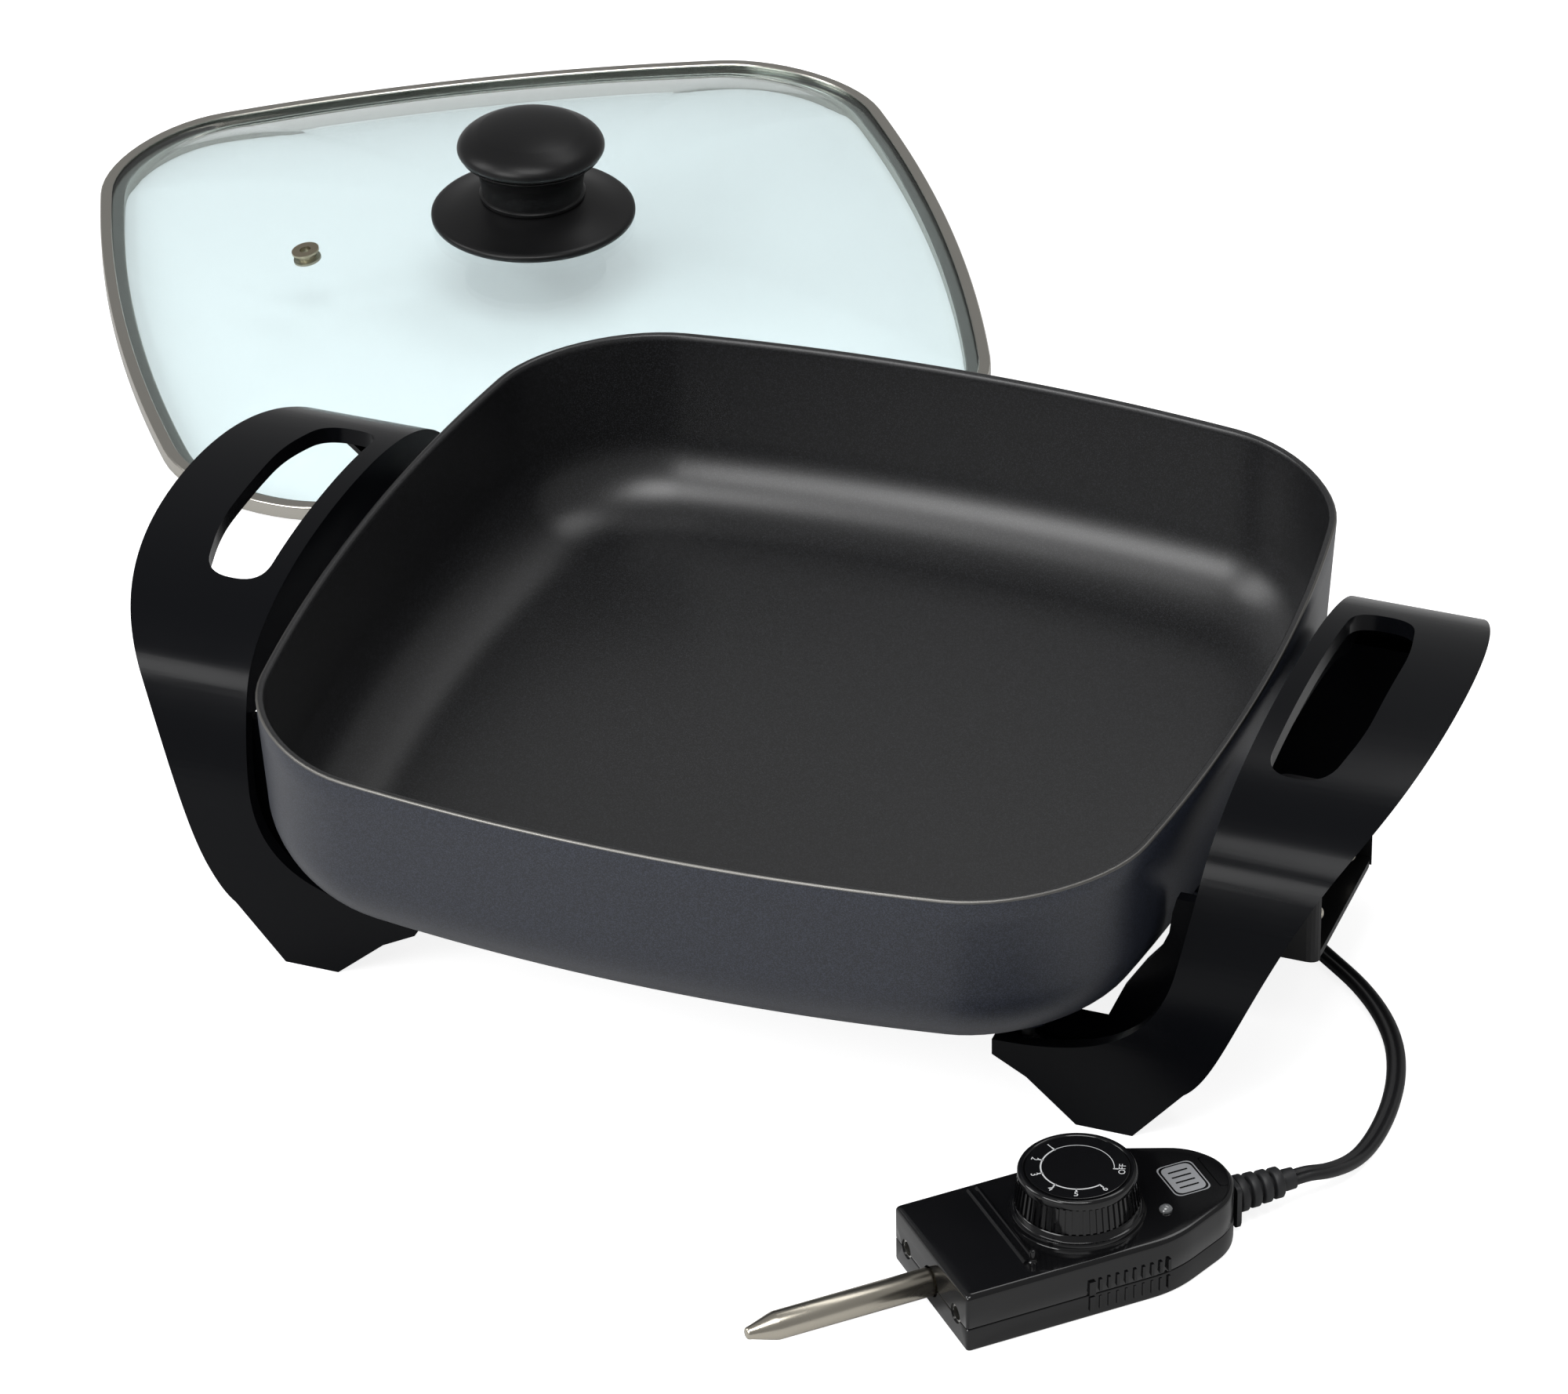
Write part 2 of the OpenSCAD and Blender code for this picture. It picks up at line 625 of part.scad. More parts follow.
module vent_grommet() {
    slack = 0.5;
    flange_t = 0.8;
    half = glass_t / 2 + slack;
    color("#c4c2ba") place_lid() place_vent() difference() {
        union() {
            cylinder(h = 2 * half + flange_t, r = vent_r, center = true, $fn = fine);
            for (z = [-half - flange_t, half])
                translate([0, 0, z]) cylinder(h = flange_t, r = vent_r + 1.8, $fn = fine);
        }
        cylinder(h = 20, r = vent_r - 1.2, center = true, $fn = fine);
    }
}

// Heights of the knob's pieces above the crown of the glass
flat_z = glass_edge_z + glass_t + glass_h(0.16);
flange_r = flange_d / 2;
knob_r = knob_d / 2;
neck_r = 18.6;
neck_z = flat_z + 8.5;
cap_z = flat_z + knob_h - 11;

module knob_flange() {
    color("#151516") place_lid() translate([0, 0, flat_z]) rotate_extrude($fn = 96) polygon(concat(
        [[stud_r - 0.6, seat_gap], [flange_r - 0.6, seat_gap], [flange_r, seat_gap + 0.6], [flange_r, 1.8],
         [flange_r - 0.8, 2.6]],
        bez([flange_r - 3, 3.2], [flange_r - 9, 5], [neck_r + 6, 7.4], [neck_r - 1, 8.4], 6),
        [[stud_r - 0.6, 8.4]]));
}

module knob_neck() {
    color("#151516") place_lid() translate([0, 0, neck_z + seat_gap]) rotate_extrude($fn = 96) polygon(concat(
        [[stud_r - 0.6, 0], [neck_r + 0.6, 0], [neck_r + 0.6, 1.4], [neck_r - 0.2, 1.8]],
        bez([neck_r - 0.4, 6], [neck_r, 12], [knob_r - 5, 14], [knob_r - 1.2, cap_z - neck_z - 1.2], 8),
        [[stud_r - 0.6, cap_z - neck_z - 1.2]]));
}

module knob_cap() {
    rise = flat_z + knob_h - cap_z;
    color("#151516") place_lid() translate([0, 0, cap_z - 0.9]) rotate_extrude($fn = 96) polygon(concat(
        [[0, 0], [knob_r - 1.8, 0]],
        bez([knob_r - 1.4, 0.1], [knob_r + 0.9, 1.6], [knob_r + 0.6, 5], [knob_r - 5.5, rise - 3.2], 8),
        bez([knob_r - 7, rise - 2.2], [knob_r - 12, rise - 0.2], [8, rise + 0.9], [0, rise + 0.9], 6)));
}

washer_t = 1.5;
module knob_washer() {
    color("#9a9a94") place_lid() translate([0, 0, flat_z - glass_t - seat_gap - washer_t]) difference() {
        cylinder(h = washer_t, r = 11, $fn = fine);
        translate([0, 0, -1]) cylinder(h = washer_t + 2, r = 2.2 + pin_fit, $fn = fine);
    }
}

module knob_screw() {
    base = flat_z - glass_t - 2 * seat_gap - washer_t;
    color("#c0c0bc") place_lid() translate([0, 0, base]) screw_up(cap_z - base - 1.2, 4.4, 9, 2.6);
}

// ---------- plug-in control, lying in front of the pan ----------

ctl_pos = [110.5, -196];
ctl_turn = 44.5;
ctl_len = ctl_straight + ctl_end;
contact_y = pin_y;
screw_u = [[33, -19.2], [33, 19.2], [82, 0]];
shell_screw_r = 1.3;
screw_boss_r = 3.2;
lamp_pos = [71, -11.2];
shaft_r = 3;

module place_control() {
    translate([ctl_pos.x, ctl_pos.y, 0]) rotate(ctl_turn) children();
}

// Plan of the control, drawn in by inset: square front, rounded rear
module control_plan(inset) {
    w = ctl_w / 2 - inset;
    e = ctl_end - inset;
    front_r = 1.2;
    polygon(concat(
        [[inset + front_r, -w]],
        [for (a = [-90:7.5:90]) [ctl_straight + e * cos(a), w * sin(a)]],
        [[inset + front_r, w], [inset, w - front_r], [inset, -w + front_r]]));
}

module front_bores(grow) {
    translate([0, 0, axis_h]) rod_x(-1, shell_t + 1, probe_d / 2 + 0.4 + grow);
    for (s = [-1, 1]) translate([0, s * contact_y, axis_h]) rod_x(-1, shell_t + 1, pin_d / 2 + 0.6 + grow);
}

relief_r = 4.4;
module relief_bore() {
    translate([0, 0, axis_h]) rod_x(ctl_len - shell_t - 2, ctl_len + 1, relief_r - 1.2 + seat_gap);
}

module control_upper_shell() {
    edge = 1.4;
    top = ctl_h;
    cu = dial_d / 2;
    color("#0e0e10") place_control() difference() {
        union() {
            difference() {
                union() {
                    translate([0, 0, ctl_split]) linear_extrude(top - edge - ctl_split) control_plan(0);
                    translate([0, 0, top - edge]) linear_extrude(edge / 2) control_plan(0.35);
                    translate([0, 0, top - edge / 2]) linear_extrude(edge / 2) control_plan(1.1);
                }
                translate([0, 0, ctl_split - 1]) linear_extrude(top - shell_t - ctl_split + 1) control_plan(shell_t);
            }
            translate([dial_u, 0, top - 0.5]) cylinder(h = collar_h * 0.45 + 0.5, r = cu + 2.3, $fn = 72);
            translate([dial_u, 0, top - 0.5]) cylinder(h = collar_h + 0.5, r = cu + 1, $fn = 72);
            translate([dial_u, 0, top - 6]) cylinder(h = 6, r = shaft_r + 2.5, $fn = fine);
            for (u = [22.6, 25.4]) translate([u - 0.4, -17, top - 0.5]) cube([0.8, 39, 1.1]);
            translate([25, -16.6, top - 0.5]) cylinder(h = 4.2, r = 1.1, $fn = fine);
            for (p = screw_u) translate([p.x, p.y, ctl_split])
                cylinder(h = top - shell_t - ctl_split, r = screw_boss_r, $fn = fine);
            grip_ribs(ctl_split + 0.4, 13);
        }
        translate([dial_u, 0, 0]) cylinder(h = 40, r = shaft_r + pin_fit, $fn = fine);
        translate([lamp_pos.x, lamp_pos.y, 0]) cylinder(h = 40, r = 2 + seat_gap, $fn = fine);
        for (p = screw_u) translate([p.x, p.y, 0])
            cylinder(h = top - shell_t - 1, r = shell_screw_r + screw_fit, $fn = fine);
        front_bores(0);
        relief_bore();
    }
}

// Finger ribs on both long sides of the control
module grip_ribs(z0, z1) {
    for (s = [-1, 1]) for (i = [0:7])
        translate([41.5 + 3 * i, s * (ctl_w / 2 + 0.05) - 0.6, z0]) cube([1.2, 1.2, z1 - z0]);
}

module control_lower_shell() {
    color("#0e0e10") place_control() difference() {
        union() {
            difference() {
                union() {
                    translate([0, 0, 0.8]) linear_extrude(ctl_split - seat_gap - 0.8) control_plan(0);
                    linear_extrude(0.8) control_plan(0.8);
                }
                translate([0, 0, shell_t]) linear_extrude(ctl_h) control_plan(shell_t);
            }
            for (p = screw_u) translate([p.x, p.y, 1])
                cylinder(h = ctl_split - seat_gap - 1, r = screw_boss_r, $fn = fine);
            grip_ribs(1.4, ctl_split - 0.6);
        }
        for (p = screw_u) translate([p.x, p.y, -1]) {
            cylinder(h = ctl_split + 2, r = shell_screw_r + 0.2, $fn = fine);
            cylinder(h = 3.2, r = 2.7, $fn = fine);
        }
        front_bores(0);
        relief_bore();
    }
}

module shell_screws() {
    color("#b9bcc0") place_control() for (p = screw_u) translate([p.x, p.y, 2.2 - seat_gap])
        screw_up(ctl_h - shell_t - 4.5, 2 * shell_screw_r, 5, 1.6);
}

collar_u = shell_t + run_gap;
probe_step = 0.5;
module probe_sheath() {
    r = probe_d / 2;
    color("#c9c4b6") place_control() translate([0, 0, axis_h]) rotate([0, 90, 0]) translate([0, 0, -probe_len])
        rotate_extrude($fn = 64) polygon([[0, 0], [1.5, 0], [1.9, 0.5], [r, 9],
            [r, probe_len - 0.5], [r - probe_step, probe_len], [r - probe_step, probe_len + collar_u + 4],
            [r - 1.5, probe_len + collar_u + 4], [r - 1.5, 10], [1.3, 3.5], [0, 3.5]]);
}

module probe_collar() {
    color("#b6ab8c") place_control() translate([0, 0, axis_h]) difference() {
        rod_x(collar_u, collar_u + 3, probe_d / 2 + 2.3);
        rod_x(collar_u - 1, collar_u + 4, probe_d / 2 - probe_step + pin_fit);
    }
}

socket_r = pin_d / 2 + 1.5;
socket_len = 24.5;
module contact_sockets() {
    color("#c9a94e") place_control() for (s = [-1, 1]) translate([0, s * contact_y, axis_h]) {
        difference() {
            rod_x(collar_u, collar_u + socket_len, socket_r);
            rod_x(collar_u - 1, collar_u + socket_len - 2, pin_d / 2 + 0.3);
        }
        translate([collar_u + socket_len - 0.5, -0.5, -1.5]) cube([3, 1, 3]);
    }
}

// The mechanism's base carries the blades between the shells
base_u0 = 13;
base_u1 = 66;
base_z1 = 6;
module thermostat_base() {
    color("#7c5a3a") place_control() difference() {
        union() {
            translate([base_u0, -7.5, shell_t + seat_gap]) cube([base_u1 - base_u0, 15, base_z1 - shell_t - seat_gap]);
            translate([base_u1 - 12, -7.5, base_z1 - 1]) cube([12, 15, 6]);
            translate([base_u0, -7.5, base_z1 - 1]) cube([5, 15, 3.2]);
        }
        translate([base_u0 - 1, 0, axis_h]) rod_x(0, 8, 1.4);
    }
}

module bimetal_blade() {
    color("#b08d57") place_control() translate([base_u0 + 9, -3, base_z1 + seat_gap]) {
        cube([base_u1 - 12 - base_u0 - 9 - seat_gap, 6, 0.8]);
        cube([4, 6, 2]);
    }
}

blade_z = base_z1 + 5 + seat_gap;
module contact_blades() {
    color("#c9a94e") place_control() for (i = [0, 1]) translate([0, 0, blade_z + 1.6 * i]) {
        translate([dial_u - 18, -2.5, 0]) cube([base_u1 - 1 - dial_u + 18, 5, 0.6]);
        translate([base_u1 - 9, -6, 0]) cube([6, 12, 1.5]);
    }
}

module push_rod() {
    color("#e4dfd2") place_control() translate([0, 0, axis_h]) rod_x(-probe_len + 4, base_u0 + 8, 1.2);
}

module indicator_lens() {
    color("#dfe3e6") place_control() translate([lamp_pos.x, lamp_pos.y, ctl_h - shell_t]) {
        translate([0, 0, -0.5]) cylinder(h = shell_t + 0.8, r = 2, $fn = fine);
        intersection() {
            translate([0, 0, shell_t - 0.6]) sphere(r = 2.3, $fn = fine);
            translate([0, 0, shell_t + 0.3]) cylinder(h = 4, r = 2, $fn = fine);
        }
        translate([0, 0, -1]) cylinder(h = 0.9, r = 2.8, $fn = fine);
    }
}

module indicator_lamp() {
    color("#e08a3c") place_control() translate([lamp_pos.x, lamp_pos.y, shell_t + seat_gap]) {
        cylinder(h = 3, r = 3, $fn = fine);
        cylinder(h = ctl_h - 2 * shell_t - 1.6, r = 1.8, $fn = fine);
    }
}

relief_end = ctl_len + relief_len;
module strain_relief() {
    ribs = 5;
    pitch = 3.2;
    r0 = 5.4;
    r1 = 4.2;
    tail = relief_len - 1.8 - ribs * pitch - 1;
    color("#26272a") place_control() translate([0, 0, axis_h]) rotate([0, 90, 0]) translate([0, 0, ctl_len])
        rotate_extrude($fn = fine) polygon(concat(
            [[0, -shell_t - 2.6], [relief_r + 0.6, -shell_t - 2.6], [relief_r + 0.6, -shell_t - 0.6],
             [relief_r - 1.2, -shell_t - 0.6], [relief_r - 1.2, seat_gap], [6.6, seat_gap], [6.6, 1.8]],
            [for (i = [0:ribs - 1]) for (k = [0:3]) let (r = r0 + (r1 - r0) * i / ribs)
                [r + (k == 0 || k == 3 ? -1.3 : 0), 1.8 + pitch * i + [0.9, 1.2, 2.7, 3][k]]],
            [[r1 - 1, relief_len - tail], [cord_w / 2 + 0.5, relief_len], [0, relief_len]]));
}

// ---------- dial ----------

dial_z = ctl_h + collar_h + run_gap;
module dial_knob() {
    r = dial_d / 2;
    top = dial_h - 1.6;
    color("#17171a") place_control() translate([dial_u, 0, dial_z]) difference() {
        union() {
            linear_extrude(top - 1) polygon([for (i = [0:2 * dial_ribs - 1])
                (i % 2 == 0 ? r - 0.2 : r - 0.7) * [cos(180 * i / dial_ribs), sin(180 * i / dial_ribs)]]);
            translate([0, 0, top - 1.2]) rotate_extrude($fn = 72)
                polygon([[0, 0], [r, 0], [r, 1.9], [r - 0.6, 2.6], [r - 1.6, 2.8], [0, 2.8]]);
        }
        translate([0, 0, top + 1]) cylinder(h = 2, r = r - 2.2, $fn = 72);
        translate([0, 0, -1]) difference() {
            cylinder(h = top, r = r - 2.4, $fn = 72);
            cylinder(h = top, r = shaft_r + 2.4, $fn = fine);
        }
        translate([0, 0, -1]) cylinder(h = top - 0.4, r = shaft_r + seat_gap, $fn = fine);
    }
}

module dial_disc() {
    color("#0c0c0d") place_control() translate([dial_u, 0, dial_z + dial_h - 0.5])
        cylinder(h = 0.45, r = dial_d / 2 - 2.2 - seat_gap, $fn = 72);
}

module dial_shaft() {
    z0 = blade_z + 1.6 + 1.5 + run_gap;
    color("#c4c2ba") place_control() translate([dial_u, 0, z0]) difference() {
        cylinder(h = dial_z + dial_h - 3.2 - z0, r = shaft_r, $fn = fine);
        translate([1.6, -5, dial_z + 1 - z0]) cube([5, 10, 20]);
    }
}

// ---------- cord, coil and plug ----------

half_t = cord_t / 2;
relief_out = [ctl_pos.x + relief_end * cos(ctl_turn), ctl_pos.y + relief_end * sin(ctl_turn)];
// The cord's route on the table: out of the strain relief, round under the right handle and out behind the pan
cord_route = [
    [relief_out.x, relief_out.y, axis_h], [199, -109, 9], [203.5, -103, 7], [207, -94, 4.2], [209, -84, 2.2],
    [210, -72, 1.7], [209.5, -58, 1.7], [207, -43, 1.7], [202, -28, 1.7], [194, -14, 1.7], [183, -1, 1.7],
    [169, 11, 1.7], [154, 23, 1.7], [138, 34, 1.7], [121, 46, 1.7], [104, 59, 1.7], [89, 75, 1.7],
    [80, 95, 1.7], [74, 117, 1.7], [68, 140, 1.7], [62.5, 163, 1.7], [59, 186, 2], [58, 204, 2.6]];

function tangent(route, i) = let (a = route[max(i - 1, 0)], b = route[min(i + 1, len(route) - 1)])
    (b - a) / norm(b - a);
// A flat oval section of n points round a point of the route, its width level
function section(p, t, w, h, n) = let (side = [t.y, -t.x, 0] / norm([t.x, t.y]), up = cross(side, t))
    [for (k = [0:n - 1]) p + side * w / 2 * cos(360 * (k + 0.5) / n) + up * h / 2 * sin(360 * (k + 0.5) / n)];

// The same route with points put in between, on a smooth curve
function between(a, b, c, d, t) = 0.5 * (2 * b + (c - a) * t + (2 * a - 5 * b + 4 * c - d) * t * t
    + (3 * b - a - 3 * c + d) * t * t * t);
function smooth(route, n) = concat([for (i = [0:len(route) - 2]) for (k = [0:n - 1])
    between(route[max(i - 1, 0)], route[i], route[i + 1], route[min(i + 2, len(route) - 1)], k / n)],
    [route[len(route) - 1]]);

module cord() {
    path = smooth(cord_route, 3);
    color("#131314") skin([for (i = [0:len(path) - 1]) section(path[i], tangent(path, i), cord_w, cord_t, 8)]);
}

// The put-away length: a flat coil of two layers, in along the table, up in half a turn and out again
coil_r1 = 38;
coil_turns = 1.5;
coil_pitch = cord_w + 0.8;
coil_rings = 24;
coil_lift = cord_t + 0.7;
coil_z = 2.6;
coil_pos = [58 - coil_r1, 204];
coil_angle = 360 * (2 * coil_turns + 0.5);
function coil_point(a) = let (
    inward = min(a, 360 * coil_turns) / 360,
    outward = max(a - 360 * (coil_turns + 0.5), 0) / 360,
    climb = min(max(a / 180 - 2 * coil_turns, 0), 1),
    r = coil_r1 - coil_pitch * (inward - outward))
    [coil_pos.x + r * cos(a), coil_pos.y + r * sin(a), coil_z + coil_lift * (3 * climb * climb - 2 * pow(climb, 3))];
// The tail turns away from the coil on its way to the plug
tail_step = 4;
tail_bend = 8;
tail_count = 4;
function heading(a) = [cos(a), sin(a), 0];
function tail(p, k) = k > tail_count ? [] :
    let (q = p + tail_step * heading(coil_angle + 90 - tail_bend * k)) concat([q], tail(q, k + 1));
coil_path = concat([for (i = [0:coil_rings * (2 * coil_turns + 0.5)]) coil_point(360 * i / coil_rings)],
    tail(coil_point(coil_angle), 1));

module cord_coil() {
    far = [for (i = [0:len(coil_path) - 1]) for (j = [i + 12:len(coil_path) - 1])
        let (d = coil_path[i] - coil_path[j])
        max(norm([d.x, d.y]) - cord_w, abs(d.z) - cord_t)];
    echo(coil_gap = min(far));
    color("#131314") skin([for (i = [0:len(coil_path) - 1])
        section(coil_path[i], tangent(coil_path, i), cord_w, cord_t, 6)]);
}

coil_out = coil_path[len(coil_path) - 1];

module cord_tie() {
    t = 0.8;
    w = 5;
    inner = [coil_r1 - coil_pitch * coil_turns - cord_w / 2 - 1.4, coil_z - half_t - 0.3];
    outer = [coil_r1 + cord_w / 2 + 1.4, coil_z + coil_lift + half_t + 0.4];
    color("#1b1b1c") translate([coil_pos.x, coil_pos.y, 0]) rotate(-50) along_y(-w / 2, w / 2) difference() {
        translate(inner - [t, min(t, inner.y - 0.02)]) square(outer - inner + [2 * t, t + min(t, inner.y - 0.02)]);
        translate(inner) square(outer - inner);
    }
}

plug_len = 30;
plug_w = 23;
plug_t = 17;
blade_gap = 12.7;
blade_len = 17;
module place_plug() {
    translate([coil_out.x, coil_out.y, coil_out.z]) rotate(coil_angle + 90 - tail_bend * tail_count) children();
}

module plug() {
    neck = 12;
    color("#131314") place_plug() translate([seat_gap, 0, 0]) difference() {
        union() {
            rotate([0, 90, 0]) cylinder(h = neck + 1, r1 = cord_w / 2 + 0.6, r2 = 5.2, $fn = fine);
            intersection() {
                translate([neck, 0, plug_t / 2 - coil_out.z]) rotate([0, 90, 0])
                    cylinder(h = plug_len, r = plug_w / 2, $fn = fine);
                translate([neck, -plug_w / 2, -coil_out.z + 0.1]) cube([plug_len, plug_w, plug_t - 0.2]);
            }
        }
        for (s = [-1, 1]) for (i = [0:3]) translate([neck + 5 + 4 * i, s * (plug_w / 2 + 0.6) - 1, -coil_out.z - 1])
            cube([2, 2, plug_t + 2]);
        for (s = [-1, 1]) translate([neck + plug_len - 6, s * blade_gap / 2 - 0.85, plug_t / 2 - coil_out.z - 3.25])
            cube([7, 1.7, 6.5]);
    }
}

module plug_blades() {
    color("#cfc9b8") place_plug() for (s = [-1, 1]) difference() {
        translate([12 + plug_len - 6 + seat_gap * 2, s * blade_gap / 2 - 0.75, plug_t / 2 - coil_out.z - 3.15])
            cube([6 + blade_len, 1.5, 6.3]);
        translate([12 + plug_len + blade_len - 5, s * blade_gap / 2 - 2, plug_t / 2 - coil_out.z]) rotate([-90, 0, 0])
            cylinder(h = 4, r = 1.5, $fn = fine);
    }
}

pan();
probe_block();
heating_element();
terminal_insulators();
terminal_pins();
socket_guard();
guard_screws();
left_handle();
right_handle();
left_handle_screws();
right_handle_screws();
lid_glass();
lid_rim();
vent_grommet();
knob_cap();
knob_neck();
knob_flange();
knob_washer();
knob_screw();
control_upper_shell();
control_lower_shell();
probe_sheath();
probe_collar();
contact_sockets();
thermostat_base();
bimetal_blade();
contact_blades();
push_rod();
indicator_lens();
indicator_lamp();
shell_screws();
strain_relief();
dial_knob();
dial_disc();
dial_shaft();
cord();
cord_coil();
cord_tie();
plug();
plug_blades();
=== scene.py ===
"""Looks of an electric skillet, its glass lid and its plug-in control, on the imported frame.

Lengths are in millimetres unless a name ends in _m. Meshes are made in metres, in the frame's own axes.
"""

import logging
import math
from dataclasses import dataclass
from enum import Enum
from typing import Callable, Sequence

import bmesh
import bpy
import numpy as np
from mathutils import Matrix, Vector

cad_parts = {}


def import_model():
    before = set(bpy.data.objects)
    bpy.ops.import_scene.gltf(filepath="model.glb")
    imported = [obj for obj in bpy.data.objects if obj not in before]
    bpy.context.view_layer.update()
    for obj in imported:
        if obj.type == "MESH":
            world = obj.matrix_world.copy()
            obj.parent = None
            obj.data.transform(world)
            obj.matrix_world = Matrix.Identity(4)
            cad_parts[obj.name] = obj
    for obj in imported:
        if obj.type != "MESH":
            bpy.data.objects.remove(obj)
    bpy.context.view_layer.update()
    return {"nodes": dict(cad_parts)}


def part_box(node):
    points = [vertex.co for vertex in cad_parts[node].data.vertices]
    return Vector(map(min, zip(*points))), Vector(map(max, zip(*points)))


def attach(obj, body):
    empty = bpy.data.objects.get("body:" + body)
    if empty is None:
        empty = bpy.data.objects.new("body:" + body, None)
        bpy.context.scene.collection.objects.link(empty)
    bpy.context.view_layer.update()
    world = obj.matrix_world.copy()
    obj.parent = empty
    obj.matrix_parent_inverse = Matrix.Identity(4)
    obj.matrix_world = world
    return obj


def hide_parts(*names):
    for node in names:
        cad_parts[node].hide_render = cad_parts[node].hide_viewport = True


LOG = logging.getLogger("skillet")
MM = 0.001
# points closer than MERGE_M become one, and a turned profile meets its axis at a radius under POLE
MERGE_M = 1e-6
POLE = 1e-6
Point2 = tuple[float, float]
Point3 = tuple[float, float, float]
Colour = tuple[float, float, float]


class Body(Enum):
    """The rigid bodies that pieces ride on."""

    SKILLET = "skillet"
    LID = "lid"
    CONTROL = "control"
    DIAL = "dial"


class Axis(Enum):
    """The axis that a prism runs along."""

    X = "x"
    Y = "y"
    Z = "z"


# ---------------------------------------------------------------- curves and meshes


def bezier(a: Point2, b: Point2, c: Point2, d: Point2, steps: int) -> list[Point2]:
    """Points of a cubic curve.

    Args:
        a, b, c, d: its ends a and d, and the points b and c that pull it.
        steps: how many stretches it is cut into.

    Returns:
        steps + 1 points, from a to d.
    """
    p = np.array([a, b, c, d], float)
    t = np.linspace(0, 1, steps + 1)[:, None]
    w = np.hstack([(1 - t) ** 3, 3 * t * (1 - t) ** 2, 3 * t * t * (1 - t), t**3])
    return [tuple(q) for q in w @ p]


def bowed_square(half: float, radius: float, bow: float, corner: int = 14, side: int = 22) -> np.ndarray:
    """A rounded square whose sides bow outwards.

    Args:
        half: half its width across the middle.
        radius: corner radius.
        bow: how far the corners lie inside the sides.
        corner: stretches in a corner.
        side: stretches in a side.

    Returns:
        Its points, one turn anticlockwise from the +X side.
    """
    a = np.radians(np.linspace(0, 90, corner + 1))
    turn = np.stack([half - radius + radius * np.cos(a), half - radius + radius * np.sin(a)], 1)
    run = np.linspace(1, -1, side + 1)[1:-1]
    flat = np.stack([(half - radius) * run, np.full(side - 1, half)], 1)
    q = np.vstack([turn, flat])
    q = np.stack(
        [q[:, 0] * (1 - bow * (q[:, 1] / half) ** 2 / half), q[:, 1] * (1 - bow * (q[:, 0] / half) ** 2 / half)], 1
    )
    quarters = [q]
    for _ in range(3):
        last = quarters[-1]
        quarters.append(np.stack([-last[:, 1], last[:, 0]], 1))
    return np.vstack(quarters)


def at_height(flat: np.ndarray, z: float) -> np.ndarray:
    """The flat points raised to height z."""
    return np.hstack([flat, np.full((len(flat), 1), z)])


def rounded_outline(points: Sequence[Point2], radius: float, steps: int = 8) -> list[Point2]:
    """A closed outline with its corners rounded.

    Args:
        points: the corners.
        radius: how far from a corner its curve begins.
        steps: stretches in each curve.

    Returns:
        The rounded outline's points.
    """
    made = []
    for i, p in enumerate(points):
        p = np.array(p, float)
        u = np.array(points[i - 1], float) - p
        v = np.array(points[(i + 1) % len(points)], float) - p
        u *= min(radius / np.linalg.norm(u), 0.49)
        v *= min(radius / np.linalg.norm(v), 0.49)
        made += [tuple(p + u * (1 - t) ** 2 + v * t * t) for t in np.linspace(0, 1, steps + 1)]
    return made


def headings(path: np.ndarray) -> np.ndarray:
    """The unit directions along a line of points."""
    along = np.gradient(path, axis=0)
    return along / np.linalg.norm(along, axis=1)[:, None]


def offset_line(path: np.ndarray, distance: float) -> np.ndarray:
    """The points of a flat line, moved to its left by a distance."""
    along = headings(path)
    return path + distance * np.stack([-along[:, 1], along[:, 0]], 1)


def on_table(x: float, y: float, turn: float) -> Matrix:
    """A place on the table, in metres: x and y in millimetres, turned about Z by turn degrees."""
    return Matrix.Translation((x * MM, y * MM, 0)) @ Matrix.Rotation(math.radians(turn), 4, "Z")


def piece(name: str, mesh: bpy.types.Mesh) -> bpy.types.Object:
    """A new object of that mesh, linked to the scene.

    Args:
        name: the object's name.
        mesh: its mesh, in metres.

    Returns:
        The object.
    """
    made = bpy.data.objects.new(name, mesh)
    bpy.context.scene.collection.objects.link(made)
    return made


def finish_mesh(bm: bmesh.types.BMesh, name: str, sharp: float = 40, recalc: bool = True) -> bpy.types.Mesh:
    """Turns a bmesh into a mesh that is smooth but for its sharp edges.

    Args:
        bm: the bmesh, in metres; it is freed.
        name: the mesh's name.
        sharp: the angle in degrees past which an edge stays crisp.
        recalc: whether its faces are turned outwards.

    Returns:
        The mesh.
    """
    if recalc:
        bmesh.ops.recalc_face_normals(bm, faces=bm.faces[:])
    for face in bm.faces:
        face.smooth = True
    for edge in bm.edges:
        edge.smooth = not (len(edge.link_faces) == 2 and edge.calc_face_angle(0) > math.radians(sharp))
    mesh = bpy.data.meshes.new(name)
    bm.to_mesh(mesh)
    bm.free()
    return mesh


